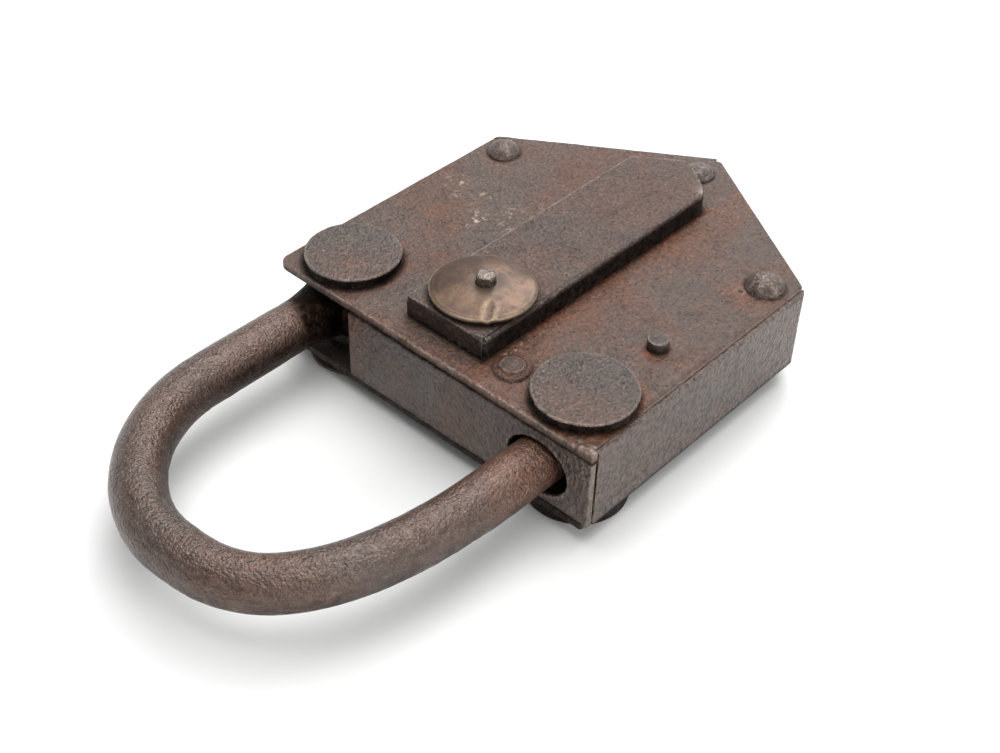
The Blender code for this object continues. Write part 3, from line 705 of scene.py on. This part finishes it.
def makeSideWalls():
    right = caseHalf - wallLap
    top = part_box("right_wall")[1].z / mm
    bm = sideStrip(1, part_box("right_wall")[0].y / mm - frontY / mm, top)
    bm = bored(bm, block((-5, 60, lidLow - 0.3), (right + 0.15, 110, top + 5)))
    soften(bm, 0.55, 3, lambda a, b: min(a.z, b.z) > top - 0.01 and min(a.x, b.x) > 44.9 - 0.6)
    soften(bm, 0.25, 2, lambda a, b: abs(a.z - b.z) > 3 and max(a.x, b.x) > 44 and max(a.y, b.y) < 60)
    sliceUp(bm, sideWalls["step"], 0, 1, 2)

    def wallShape(co, normal):
        outward = normal.copy()
        outward.z *= 0.6
        rough = ripple((co.x, co.y, co.z * 0.5), 1.7, 6.0) * 0.06 + ripple(co, 9.0, 3.0) * 0.07 - 0.08
        lip = 0.10 * ripple((co.x, co.y, 0), 2.4, 8.0) * fade(sideWalls["rim"] - co.z, 1.6)
        if normal.x < -0.5 and co.y < 70:  # the lid's side of the wall stays straight
            return still
        return outward * (min(0.0, rough) * (0.4 if co.z < 8 else 1.0) + lip * 0.5)

    sculpt(bm, wallShape)
    foot = sideWalls["foot"]
    markEdges(bm, 0.55, lambda co: 0.3 if co.z > 20 else 1.0)
    # painted shade on the inner faces under the lid; darker towards the bottom
    paint(
        bm,
        grime=lambda co: 0.9 if co.x < 44 and co.y < 71 and co.z < lidLow else 0.55 * fade(co.z - foot, 1.0),
        wear=lambda co: 0.25 * fade(sideWalls["rim"] - co.z, 1.0) if co.x > 44.3 else 0.0,
        rust=lambda co: max(0.35 * fade(co.y - 2.0, 2.5), 0.14),
    )
    finishPiece(bm, "rightWall", "case", rightWallMaterial, "rusted_plate", "right_wall")

    top = min(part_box("left_wall")[1].z / mm, lidTop + 0.12)
    bm = sideStrip(-1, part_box("left_wall")[0].y / mm - frontY / mm, top)
    inset = wallLap * slant
    trim = plate(
        [
            (-50, 20, 0),
            (-40, 20, 0),
            (-40, gableApex - inset + 0.3 - gableSlope * 40, 0),
            (-50, gableApex - inset + 0.3 - gableSlope * 50, 0),
        ],
        lidLow - 0.3,
        top + 5,
    )
    bm = bored(bm, trim)
    soften(bm, 0.3, 2, lambda a, b: min(a.z, b.z) > top - 0.01)
    sliceUp(bm, sideWalls["step"] * 1.3, 0, 1, 2)

    def leftShape(co, normal):
        rough = ripple((co.x, co.y, co.z * 0.5), 1.9, 16.0) * 0.05 + ripple(co, 9.0, 13.0) * 0.06 - 0.07
        return normal * min(0.0, rough)

    sculpt(bm, leftShape)
    markEdges(bm, 0.6, lambda co: 0.2)
    # darker towards the bottom
    paint(bm, rust=lambda co: 0.2, grime=lambda co: 0.5 * fade(co.z - foot, 1.0))
    finishPiece(bm, "leftWall", "case", leftWallMaterial, "rusted_plate", "left_wall")


rightWallMaterial = ironFinish(
    "rightWallIron", wallLook, seed=15.0, cool=(98, 92, 88), warm=(104, 88, 78), rubbed=0.6,
    creaseTone=0.65, shade=0.72,
)
leftWallMaterial = ironFinish("leftWallIron", wallLook, seed=18.0)
makeSideWalls()


# large flat heads: hinge pin and toe discs

discLook = dict(
    plainLook, cool=(92, 77, 69), warm=(102, 77, 65), grain=0.8, grainTone=1.2, fleckTone=1.1,
    fineDepth=0.65, coarseDepth=0.25, pebble=1.0, pebbleDepth=0.13, creaseTone=0.35, freshRust=0.1,
    gloss=0.65, rough=0.38, shade=0.68, darkShare=0.45, rubbed=0.6,
)
discs = {"grid": (0.55, 112), "rim": 0.22, "shank": 3.4, "top": 26.85, "toeLow": (32.9, 11.7, 11.0)}


def discShape(x, y, radius, seed, notched=0.0):
    # an outline that isn't quite round, with small notches where the rim was hammered
    def rule(co, normal):
        dx, dy = co.x - x, co.y - y
        far = math.hypot(dx, dy)
        share = min(1.0, far / radius) ** 6
        turn = (dx / max(far, 0.01) * 3.0, dy / max(far, 0.01) * 3.0, seed)
        out = ripple(turn, 2.6, seed) * 0.16 + ripple(turn, 0.5, seed + 2) * (0.05 + notched * 0.10) - 0.12
        side = Vector((dx, dy, 0)).normalized() * out * share if far > 0.01 else still
        low = co.z < 0.5
        lift = 0.0 if low else ripple(co, 1.6, seed) * 0.035 + ripple(co, 7.0, seed + 4) * 0.05 - 0.05
        lift -= 0.10 * share if not low and co.z > 24 else 0.0
        return side + (Vector((0, 0, lift)) if abs(normal.z) > 0.3 else still)

    return rule


# a disc's side painted near-black as painted shade
def paintedShadeSide(low, high):
    return lambda co: 1.0 if low < co.z < high else 0.0


def turnedPiece(name, node, finish, profile, grid, spot, shape, gain, **rules):
    # finish is the material and its slot name, which is not used; grid the step along the profile and the count
    # round it
    bm = turned(profile, *grid, spot)
    sculpt(bm, shape)
    markEdges(bm, gain)
    paint(bm, **rules)
    finishPiece(bm, name, "case", *finish, node)


def makeDiscs():
    grid, rim, shank, top = discs["grid"], discs["rim"], discs["shank"], discs["top"]
    finish = (discMaterial, "dark_scale")
    x, y, radius = heads["heel_pin"]
    profile = [(0, top), (radius - rim, top), (radius, top - rim), (radius - 0.3, 24.5), (shank, 24.5)]
    profile += [(shank, 3.1), (radius - 0.3, 3.1), (radius, rim), (radius - rim, 0), (0, 0)]
    ends = discShape(x, y, radius, 21.0)
    turnedPiece(
        "heelPin", "heel_pin", finish, profile, grid, (x, y),
        lambda co, normal: ends(co, normal) if abs(co.z - 13.8) > 9 else still,
        0.35,
        # painted shade on the side
        grime=paintedShadeSide(1.0, top - 0.4),
        rust=lambda co: 0.25 * hump(co.x, co.y, -30, 8, 5) if co.z > 20 else 0.0,
    )

    x, y, radius = heads["toe_disc_top"]
    top += 0.1
    profile = [(0, top), (radius - rim, top), (radius, top - rim), (radius - 0.3, 24.5), (2.0, 24.5)]
    profile += [(2.0, 22.3), (3.0, 22.3), (2.4, 21.2), (0, 21.0)]
    turnedPiece(
        "toeDiscTop", "toe_disc_top", finish, profile, grid, (x, y), discShape(x, y, radius, 27.0, 1.0), 0.42,
        # painted shade on the side
        grime=paintedShadeSide(20.0, 26.5),
        rust=lambda co: 0.22 * hump(co.x, co.y, 34.0, 6.0, 7.0),
    )

    x, y, radius = discs["toeLow"]
    profile = [(0, 6.6), (2.4, 6.4), (3.0, 5.5), (2.0, 5.5), (2.0, 3.1), (radius - 0.3, 3.1), (radius, rim)]
    profile += [(radius - rim, 0), (0, 0)]
    turnedPiece(
        "toeDiscLow", "toe_disc_bottom", finish, profile, grid, (x, y), discShape(x, y, radius, 33.0), 0.2,
        rust=lambda co: 0.2,
        # painted shade all over the low disc under the case
        grime=lambda co: 0.85,
    )


discMaterial = ironFinish("discIron", discLook, seed=22.0)
makeDiscs()


# rivets and stub

rivets = {  # height, seed and depth of the hammer marks
    "corner_rivet_left": (2.9, 41.0, 0.10), "corner_rivet_apex": (2.7, 43.0, 0.16),
    "corner_rivet_right": (3.2, 47.0, 0.28),
}
rivetLook = dict(
    plainLook, cool=(94, 83, 78), warm=(100, 78, 70), grain=0.6, rubbed=0.3, fineDepth=0.3,
    coarseDepth=0.2, pebbleDepth=0.03, metal=0.2, rough=0.40, freshRust=0.1,
)


def domeLine(radius, height, foot, steps=9):
    # half of a domed head, from its crown out to its rim
    sphere = (radius * radius + height * height) / (2 * height)
    widest = math.asin(min(1.0, radius / sphere))
    line = []
    for step in range(steps + 1):
        angle = widest * step / steps
        line.append((sphere * math.sin(angle), foot + sphere * math.cos(angle) - (sphere - height)))
    return line


def makeRivets():
    shank = 2.0
    finish = (rivetMaterial, "worn_rivet")
    for node, (height, seed, facet) in rivets.items():
        x, y, radius = heads[node]
        profile = domeLine(radius, height - 0.3, 24.5)
        profile += [(radius - 0.05, 24.25), (shank, 24.25), (shank, 3.1)]
        profile += [(r, 6.2 - z) for r, z in domeLine(radius * 0.95, 3.1, 3.1)][::-1]

        def shape(co, normal):
            if co.z < 24.3:
                return still
            dents = (dish(co, radius * 0.55, seed) - 0.4) * facet + ripple(co, 1.1, seed) * facet * 0.35
            dx, dy = co.x - x, co.y - y
            lean = ripple((dx, dy, seed), radius * 1.5, seed) * 0.16
            return normal * (dents - facet * 0.3) + Vector((dx, dy, 0)) * lean * 0.35

        turnedPiece(
            node.title().replace("_", ""), node, finish, profile, (0.45, 48), (x, y), shape, 1.2,
            # painted shade round the foot of the head
            grime=lambda co: 0.7 * fade(co.z - 24.3, 0.5) if co.z > 23 else 0.0,
            wear=lambda co: 0.35 * fade(24.5 + height - 0.6 - co.z, 0.7),
        )

    # the low rivet by the toe, its middle struck flat inside a ring
    x, y, radius = heads["front_rivet"]
    profile = [(0, 25.35), (1.9, 25.4), (2.3, 25.5), (2.7, 25.42), (3.2, 25.2), (3.8, 24.85), (radius, 24.4)]
    profile += [(radius, 24.25), (shank, 24.25), (shank, 3.1), (4.0, 3.1), (3.2, 1.9), (0, 1.7)]
    turnedPiece(
        "frontRivet", "front_rivet", finish, profile, (0.4, 48), (x, y),
        lambda co, normal: normal * (ripple(co, 1.2, 51.0) * 0.09 - 0.03) if co.z > 24.3 else still,
        0.4,
        rust=lambda co: 0.45 if math.hypot(co.x - x, co.y - y) > 2.4 else 0.05,
        # painted shade in the groove round the struck middle, and the head a little darker all over
        grime=lambda co: max(0.15, 0.7 * fade(abs(math.hypot(co.x - x, co.y - y) - 2.9), 0.5)),
    )

    # the short stud whose inner end carries the spring
    x, y, radius = heads["spring_post"]
    profile = [(0, 26.68), (1.9, 26.66), (2.25, 26.5), (2.35, 26.2), (2.35, 22.6), (shank, 22.6)]
    profile += [(shank, 3.1), (3.4, 3.1), (2.8, 2.0), (0, 1.8)]
    turnedPiece(
        "springPost", "spring_post", finish, profile, (0.4, 40), (x, y),
        lambda co, normal: normal * (ripple(co, 0.9, 57.0) * 0.06 - 0.05) if co.z > 24.6 else still,
        0.5,
        wear=lambda co: 0.1 if co.z > 26.3 else 0.0,
        # painted shade at the foot of the stud, which is a little darker all over
        grime=lambda co: max(0.2, 0.8 * fade(co.z - 24.2, 2.0)) if co.z > 23 else 0.0,
    )


rivetMaterial = ironFinish("wornRivet", rivetLook, seed=41.0)
makeRivets()


# keyhole cover

cover = {
    "low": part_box("keyhole_cover")[0].z / mm,
    "high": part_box("keyhole_cover")[1].z / mm,
    "pivot": (0.5, 18.2), "bore": 2.45, "step": 0.6,
}


def makeCover():
    half, front, shoulder, apex = lid["cover"]
    low, high = cover["low"], cover["high"]
    corners = [(-half, front, 0.5), (half, front, 0.6), (half, shoulder, 1.2)]
    corners += [(0, apex, 0.9), (-half, shoulder, 0.6)]
    bm = plate(corners, low, high)
    soften(bm, 1.15, 5, lambda a, b: min(a.z, b.z) > high - 0.01 and min(a.x, b.x) > half - 1.5)
    soften(bm, 0.28, 3, lambda a, b: min(a.z, b.z) > high - 1.2)
    soften(bm, 0.15, 1, lambda a, b: max(a.z, b.z) < low + 0.01)
    sliceUp(bm, cover["step"], 0, 1)
    sliceUp(bm, 0.65, 2)
    px, py = cover["pivot"]
    bm = bored(bm, barrel(cover["bore"], low - 1, high + 1, px, py))

    def apexGap(co):  # distance inside the two slanted ends
        rise = (apex - shoulder) / half
        return (apex - rise * abs(co.x) - co.y) / math.hypot(1.0, rise)

    def shape(co, normal):
        if co.z < low + 0.05 or math.hypot(co.x - px, co.y - py) < 2.6:  # flat below and round the bore
            return still
        wave = ripple(co, 12.0, 61.0) * 0.08 + ripple(co, 2.2, 63.0) * 0.05 - 0.07
        edge = 0.10 * ripple(co, 1.4, 67.0) * fade(half - abs(co.x), 1.2)
        chip = 0.5 * math.exp(-((co.x - half) ** 2 + (co.y - shoulder) ** 2) / 2.2)
        return normal * (min(0.02, wave) + edge - chip)

    sculpt(bm, shape)
    markEdges(bm, 0.3, lambda co: 0.0 if co.x > half - 2 and front + 2 < co.y < shoulder - 3 else 1.0)
    paint(
        bm,
        # the right side black with scale, painted shade on the other side faces and along the foot, and a ring
        # of painted shade round the washer
        grime=lambda co: max(
            fade(co.z - high + 1.1, 0.1) if co.x > half - 0.6 else 0.0,
            0.55 * fade(co.z - high + 0.6, 0.2),
            0.9 * fade(co.z - low - 0.5, 1.0),
            0.55 * fade(math.hypot(co.x, co.y - 18) - 11.4, 1.2) if co.z > high - 0.6 else 0.0,
        ),
        wear=lambda co: max(
            1.0 * fade(co.x + half, 0.45) if co.z > high - 0.5 and co.y > 24 else 0.0,
            0.9 * fade(apexGap(co), 0.5) if co.z > high - 0.5 and co.y > shoulder - 1 else 0.0,
            0.8 * hump(co.x, co.y, half - 0.4, shoulder + 0.4, 2.0) if co.z > high - 1.4 else 0.0,
            0.75 * hump(co.x, co.y, half, front, 0.8),
        ),
        rust=lambda co: 0.4 * fade(co.z - low, 1.6) if co.x > 10 else 0.08,
    )
    finishPiece(bm, "keyholeCover", "cover", coverMaterial, "dark_scale", "keyhole_cover")


coverMaterial = ironFinish(
    "coverIron", plainLook, seed=61.0, cool=(92, 79, 73), warm=(102, 78, 68), deep=(52, 40, 35),
    grain=0.8, fineDepth=0.7, pebbleDepth=0.09, freshRust=0.2, rough=0.43, rubbed=0.35, edgeGain=1.6,
    shade=0.72, bare=(170, 158, 150),
)
makeCover()


# domed washer and its pin

washer = {"spot": (0.1, 17.9), "bore": 2.24, "crease": ((5.2, 15.0), (8.0, 10.75)), "steps": 128, "step": 0.4}


def makeWasher():
    bore = washer["bore"]
    profile = [(bore, 32.78), (4.0, 32.70), (5.6, 32.55), (7.5, 32.28), (9.2, 31.98), (10.5, 31.68)]
    profile += [(11.2, 31.42), (11.4, 31.2), (11.38, 30.8), (11.1, 30.5), (9.4, 30.75), (6.8, 31.2)]
    profile += [(3.6, 31.5), (bore, 31.55)]
    bm = turned(profile, washer["step"], washer["steps"], washer["spot"], closed=True)
    start, end = (Vector(point) for point in washer["crease"])
    along = (end - start).normalized()
    wx, wy = washer["spot"]

    def shape(co, normal):
        spot = co.xy - start
        run = spot.dot(along)
        off = abs(spot.cross(along))
        reach = max(0.0, min(1.0, run / 2.0)) if run > 0 else 0.0
        valley = -0.26 * math.exp(-((off / 0.55) ** 2))
        ridge = 0.16 * math.exp(-(((off - 1.5) / 0.9) ** 2))
        fold = valley * reach + ridge * reach
        dents = 0.0
        for cx, cy, size, deep in ((7.2, 8.6, 1.2, -0.12), (3.2, 12.6, 1.8, -0.10), (-6.0, 14.0, 2.2, -0.06)):
            dents += hump(co.x, co.y, cx, cy, size) * deep
        wave = ripple(co, 5.0, 71.0) * 0.07 + ripple(co, 1.8, 73.0) * 0.018
        inner = fade(math.hypot(co.x - wx, co.y - wy) - 2.4, 5.0)
        return Vector((0.4 * inner, 0.3 * inner, fold + dents + wave - 0.03))

    sculpt(bm, shape)
    px, py = cover["pivot"]

    def grime(co):  # painted shade round the pin and in the crease
        spot = co.xy - start
        crease = 0.6 * math.exp(-((spot.cross(along) / 0.3) ** 2)) if spot.dot(along) > 0.6 else 0.0
        return max(0.6 * fade(math.hypot(co.x - px, co.y - py) - 2.4, 2.6), crease)

    def wear(co):  # along the rim
        return 0.8 * fade(11.35 - math.hypot(co.x - wx, co.y - wy), 0.4) if co.z > 31.0 else 0.0

    markEdges(bm, 0.7, lambda co: 0.0 if math.hypot(co.x - px, co.y - py) < 5 else 1.0)
    paint(bm, grime=grime, wear=wear)
    finishPiece(bm, "domedWasher", "case", washerMaterial, "dull_bronze", "domed_washer")

    profile = [(0, 35.12), (1.0, 35.1), (1.75, 35.0), (2.08, 34.75), (2.15, 34.4), (2.15, 22.3), (3.2, 22.3)]
    profile += [(2.6, 21.0), (0, 20.8)]

    def pinShape(co, normal):
        if co.z < 33.0:
            return still
        return normal * ((dish(co, 1.3, 81.0) - 0.5) * 0.10 + ripple(co, 0.8, 83.0) * 0.05 - 0.07)

    turnedPiece(
        "coverPivot", "cover_pivot", (pinMaterial, "worn_rivet"), profile, (0.35, 40), cover["pivot"],
        pinShape, 1.2,
        wear=lambda co: 0.95 if co.z > 34.3 else 0.25,
        # painted shade on the pin below the washer's top
        grime=lambda co: 0.85 * fade(co.z - 32.4, 1.0),
    )


def bronzeFinish(name, **look):
    f = Finish(name)
    cloud = f.grain(f.place, 6.0, 4.0, 0.6, look["seed"])
    stain = f.grain(f.place, 2.4, 5.0, 0.65, look["seed"] + 2.0, 0.8)
    fine = f.grain(f.place, 0.5, 3.0, 0.6, look["seed"] + 4.0)
    streak = f.grain(f.stretch(f.place, (3.0, 0.5, 1.0)), 1.0, 4.0, 0.6, look["seed"] + 6.0)
    colour = f.mix(f.rise(cloud, 0.38, 0.62), look["brown"], look["gold"])
    colour = f.mix(f.rise(stain, 0.50, 0.66) * 0.8, colour, look["green"])
    colour = f.mix(f.rise(stain, 0.46, 0.30) * 0.5, colour, look["pink"])
    colour = f.tint(colour, 0.78 + fine * 0.28 + streak * 0.16)
    # painted shade from the grime mark
    grime = f.mark("grime") * f.rise(stain, 0.8, 0.3)
    colour = f.mix(grime, colour, (52, 46, 40))
    wear = f.mark("wear") * f.rise(fine, 0.3, 0.5)
    colour = f.mix(wear * 0.8, colour, look["bright"])
    normal = f.bump(fine * 0.035 + stain * 0.08)
    return f.surface(
        Base_Color=colour,
        Roughness=0.26 + stain * 0.24 + grime * 0.3 - wear * 0.08,
        Metallic=0.62 - grime * 0.5,
        Normal=normal,
    )


washerMaterial = bronzeFinish(
    "dullBronze", seed=71.0, brown=(80, 61, 51), gold=(104, 82, 65), green=(68, 60, 53),
    pink=(104, 80, 70), bright=(160, 142, 120),
)
pinMaterial = ironFinish(
    "brightPin", rivetLook, seed=81.0, cool=(128, 125, 122), warm=(112, 104, 98), metal=0.7, rough=0.34,
)
makeWasher()


# shackle

shackle = {
    "radius": 5.8, "height": 13.6, "heelX": -35.4, "toeX": 30.7, "bow": (-3.7, -63.5),
    "heelBendY": -28.9, "toeBendY": 1.7, "heelPower": 1.88, "toePower": 2.72, "toeTipY": 17.0,
    "hinge": (-33.0, 12.2), "eye": 7.8, "eyeHalf": 5.5, "bore": 3.7, "notch": (8.0, 12.6, 28.4),
    "step": 0.75, "around": 60,
}


def rodLine():
    s = shackle
    bowX, bowY = s["bow"]
    points = []

    def corner(angles, endX, endY, power):  # one quarter of the bow, squarer as the power grows
        for angle in angles:
            x = bowX + (endX - bowX) * max(0.0, math.cos(angle)) ** (2 / power)
            points.append(Vector((x, endY - (endY - bowY) * math.sin(angle) ** (2 / power))))

    for index in range(60):
        points.append(Vector((s["heelX"], 20.0 - (20.0 - s["heelBendY"]) * index / 60)))
    corner([math.pi / 2 * index / 90 for index in range(90)], s["heelX"], s["heelBendY"], s["heelPower"])
    corner([math.pi / 2 * (1 - index / 140) for index in range(141)], s["toeX"], s["toeBendY"], s["toePower"])
    for index in range(1, 21):
        points.append(Vector((s["toeX"], s["toeBendY"] + (s["toeTipY"] - s["toeBendY"]) * index / 20)))
    return evened(points, s["step"])


def evened(points, step):
    # the same line with points at equal steps
    total = sum((b - a).length for a, b in zip(points, points[1:]))
    count = round(total / step)
    line, want, gone = [], 0.0, 0.0
    for a, b in zip(points, points[1:]):
        long = (b - a).length
        while want <= gone + long + 1e-9 and len(line) <= count:
            line.append(a.lerp(b, min(1.0, (want - gone) / max(long, 1e-9))))
            want += total / count
        gone += long
    return line


def rodPaintedShade(co):
    # painted shade on the lower half and round the inside of the bow, painted shadow from the lid's overhang on
    # the heel, and painted shade all over where the rod enters the case
    heel = fade(-3.0 - co.y - 0.35 * (co.x + 34), 2.4) if co.x < 0 else 0.0
    toe = 0.7 * min(1.0, max(0.0, (co.y - 1.0) / 5.0)) if co.x > 0 else 0.0
    patch = min(1.0, max(0.25, 0.8 + ripple(co, 6.0, 12.0)))  # heavier in some places than in others
    under = 0.85 * fade(co.z - 10.0, 5.0) * patch
    inner = math.hypot((co.x + 2.4) / 27.0, min(0.0, co.y + 22) / 36.0)
    inside = 0.9 * fade(inner - 1.0, 0.12) * (fade(co.z - 15.0, 3.0) if co.y < -4 else 0.0)
    return max(heel, toe, under, inside)


def rounded(co):
    return tuple(round(value, 4) for value in co)


def makeShackle():
    s = shackle
    line = rodLine()
    heading = []
    for index in range(len(line)):
        a = line[max(0, index - 2)]
        b = line[min(len(line) - 1, index + 2)]
        heading.append(math.atan2(b.y - a.y, b.x - a.x))
    bm = bmesh.new()
    straight = bm.verts.layers.float_vector.new("straight")
    first = bmesh.ops.create_circle(bm, cap_ends=False, segments=s["around"], radius=s["radius"])["verts"]
    for angle, axis in ((math.pi / 2, "X"), (heading[0] + math.pi / 2, "Z")):
        bmesh.ops.rotate(bm, cent=still, matrix=Matrix.Rotation(angle, 3, axis), verts=first)
    bmesh.ops.translate(bm, vec=(line[0].x, line[0].y, s["height"]), verts=first)
    rings = [first]
    edges = bm.edges[:]
    for index in range(1, len(line)):
        made = bmesh.ops.extrude_edge_only(bm, edges=edges)["geom"]
        verts = [item for item in made if isinstance(item, bmesh.types.BMVert)]
        edges = [item for item in made if isinstance(item, bmesh.types.BMEdge)]
        turn = Matrix.Rotation(heading[index] - heading[index - 1], 3, "Z")
        old = Vector((*line[index - 1], s["height"]))
        bmesh.ops.rotate(bm, cent=old, matrix=turn, verts=verts)
        bmesh.ops.translate(bm, vec=Vector((*line[index], s["height"])) - old, verts=verts)
        rings.append(verts)
    for index, ring in enumerate(rings):
        middle = Vector((*line[index], s["height"]))
        across = Vector((-math.sin(heading[index]), math.cos(heading[index]), 0))
        for vert in ring:
            away = vert.co - middle
            vert[straight] = Vector((index * s["step"], away.dot(across), away.z))

    # the heel is forged out flat into an eye round the hinge pin
    hx, hy = s["hinge"]
    for index, ring in enumerate(rings):
        y = line[index].y
        if line[index].x > 0 or y < -2:
            continue
        share = min(1.0, max(0.0, (y + 2) / 8))
        share = share * share * (3 - 2 * share)
        eyeHalf = math.sqrt(max(0.25, s["eye"] ** 2 - (y - hy) ** 2)) if y > hy - s["eye"] else 0.0
        left = -41.2 + 0.4 * share if y < hy else hx - eyeHalf
        right = max(-29.6, hx + eyeHalf) if y < hy else hx + eyeHalf
        for vert in ring:
            dx, dz = vert.co.x - s["heelX"], vert.co.z - s["height"]
            reach = math.hypot(dx, dz)
            cosine, sine = dx / reach, dz / reach
            power = 1.0 - 0.62 * share
            half = (right - left) / 2
            wide = math.copysign(abs(cosine) ** power, cosine) * half
            thick = s["radius"] + (s["eyeHalf"] - s["radius"]) * share
            tall = math.copysign(abs(sine) ** power, sine) * thick
            vert.co.x = (left + right) / 2 + wide
            vert.co.z = s["height"] + tall
    # the toe narrows to its tip
    for index, ring in enumerate(rings):
        left = len(rings) - 1 - index
        if left < 6:
            size = 0.72 + 0.28 * (1 - (1 - left / 6) ** 2)
            middle = Vector((*line[index], s["height"]))
            bmesh.ops.scale(bm, vec=(size, size, size), space=Matrix.Translation(-middle), verts=ring)

    bm.normal_update()
    ends = [edge for edge in bm.edges if edge.is_boundary]
    bmesh.ops.holes_fill(bm, edges=ends, sides=0)
    faceOut(bm)

    def shape(co, normal):
        calm = 0.25 if co.y > 1.0 else 1.0
        if co.y > 4.0 and co.x < 0:
            return still
        near = nearest[rounded(co)]
        run = near.x
        bend = fade(abs(run - 92), 60)
        wrinkle = ripple((near.x, near.y * 0.4, near.z * 0.4), 1.6, 91.0, 2) * 0.035 * bend
        under = fade(near.z + 1.0, 3.0) * fade(abs(run - 130), 60)
        pits = -(0.14 + 0.2 * under) * max(0.0, ripple(near, 2.0, 95.0) - 0.2)
        lumps = 0.10 * max(0.0, ripple(near, 2.6, 97.0) - 0.3)
        wave = ripple(near, 16.0, 99.0) * 0.12 + ripple(near, 5.0, 93.0) * 0.035
        return normal * (calm * (wrinkle + pits + lumps + wave) - 0.12)

    nearest = {rounded(vert.co): vert[straight].copy() for vert in bm.verts}
    sculpt(bm, shape)
    markEdges(bm, 0.9)
    paint(
        bm,
        rust=lambda co: max(
            0.9 * hump(co.x, co.y, -38.2, -1.8, 2.2) if co.z > 15 else 0.0,
            0.3 * fade(-2 - co.y, 20) if co.x < 0 else 0.75 * fade(abs(co.y + 6), 16),
        ),
        grime=rodPaintedShade,
    )
    bm = bored(bm, barrel(s["bore"], 0, 30, hx, hy, 48))
    bm = bored(bm, block((s["toeX"] - 12, s["notch"][0], 4), (s["notch"][2], s["notch"][1], 24)))
    finishPiece(bm, "shackleRod", "shackle", shackleMaterial, "forged_rod", "shackle", sharp=50)


shackleMaterial = ironFinish(
    "forgedRod", plainLook, seed=91.0, along="straight", stretch=(1.0, 1.0, 1.0), cloud=26.0,
    cool=(88, 60, 46), warm=(106, 64, 42), deep=(50, 31, 23), pale=(106, 80, 64), bare=(156, 138, 126),
    shade=0.46, gloss=0.95, metal=0.3, grain=0.7, pebble=0.62, darkShare=0.55, paleShare=0.2,
    fineDepth=0.36, coarseDepth=0.16, fleckDepth=0.12, pebbleDepth=0.075, creaseTone=0.3, grainTone=0.9,
    fleckTone=0.7, rubbed=0.2, rough=0.27, freshRust=0.5,
)
makeShackle()


# inner works and spacers keep their shapes and get finishes

inside = {
    "darkForging": (
        "heel_collar_low", "heel_collar_high", "bolt_keeper_front", "bolt_keeper_rear", "key_post",
    ),
    "wardIron": ("ward_low", "ward_high", "spring_stud"), "boltSteel": ("bolt",),
    "springSteel": ("detent_spring", "kicker_spring"),
}
insideLooks = {
    "darkForging": dict(seed=101.0, cool=(80, 72, 68), warm=(92, 74, 64), rough=0.6),
    "wardIron": dict(seed=103.0, cool=(92, 84, 80), warm=(100, 80, 68), rough=0.58),
    "boltSteel": dict(seed=107.0, cool=(128, 122, 118), warm=(112, 98, 90), metal=0.6, rough=0.42),
    "springSteel": dict(seed=109.0, cool=(96, 94, 96), warm=(104, 92, 84), metal=0.7, rough=0.36),
}
for kind, nodes in inside.items():
    finish = ironFinish(kind, plainLook, shade=0.5, **insideLooks[kind])
    for node in nodes:
        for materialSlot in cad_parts[node].material_slots:
            materialSlot.material = finish
print("inner works finished")


# floor, light and camera

stage = {
    "floorSize": 6.0, "floorColour": (0.84, 0.84, 0.83), "sky": (0.96, 0.98, 1.0),
    "skyStrength": 0.42,
    "lamps": {
        "overhead": {"at": (-0.10, 0.20, 1.45), "size": (1.6, 1.6), "power": 25.0},
        "behind": {"at": (-0.40, 0.92, 0.85), "size": (0.7, 0.45), "power": 8.0},
        "rightSide": {"at": (1.15, -0.1, 0.55), "size": (0.7, 0.5), "power": 5.5},
    },
}


def makeStage():
    bm = bmesh.new()
    bmesh.ops.create_grid(bm, x_segments=4, y_segments=4, size=stage["floorSize"] / 2)
    mesh = meshOf(bm, "floor")
    f = Finish("paleFloor")
    cloth = f.grain(f.place, 60.0, 2.0, 0.5, 5.0)
    colour = f.tint(stage["floorColour"], 0.99 + cloth * 0.02)
    mesh.materials.append(f.surface(Base_Color=colour, Roughness=0.75))
    added("floor", mesh)

    world = bpy.data.worlds.new("studio")
    world.use_nodes = True
    sky = world.node_tree.nodes["Background"]
    sky.inputs["Color"].default_value = (*stage["sky"], 1.0)
    sky.inputs["Strength"].default_value = stage["skyStrength"]
    scene.world = world
    for name, lamp in stage["lamps"].items():
        light = bpy.data.lights.new(name, "AREA")
        light.shape = "RECTANGLE"
        light.size, light.size_y = lamp["size"]
        light.energy = lamp["power"]
        item = added(name, light)
        item.location = lamp["at"]
        item.rotation_euler = (-Vector(lamp["at"])).to_track_quat("-Z", "Y").to_euler()


view = {
    "turn": math.radians(40.96), "tilt": math.radians(40.56), "roll": math.radians(2.02),
    "distance": 0.3087, "aim": (0.01653, frontY + 0.00524, 0.02452), "lens": 55.64,
}


def makeCamera():
    turn, tilt, roll = view["turn"], view["tilt"], view["roll"]
    back = Vector((math.sin(turn) * math.cos(tilt), -math.cos(turn) * math.cos(tilt), math.sin(tilt)))
    level = Vector((math.cos(turn), math.sin(turn), 0))
    upward = back.cross(level)
    across = level * math.cos(roll) + upward * math.sin(roll)
    upright = upward * math.cos(roll) - level * math.sin(roll)
    lens = bpy.data.cameras.new("studioCamera")
    lens.lens = view["lens"]
    lens.sensor_width = 36.0
    lens.clip_start = 0.01
    camera = added("studioCamera", lens)
    axes = Matrix((across, upright, back)).transposed()
    camera.matrix_world = Matrix.Translation(Vector(view["aim"]) + back * view["distance"]) @ axes.to_4x4()
    scene.camera = camera


makeStage()
makeCamera()
print("stage and camera ready")
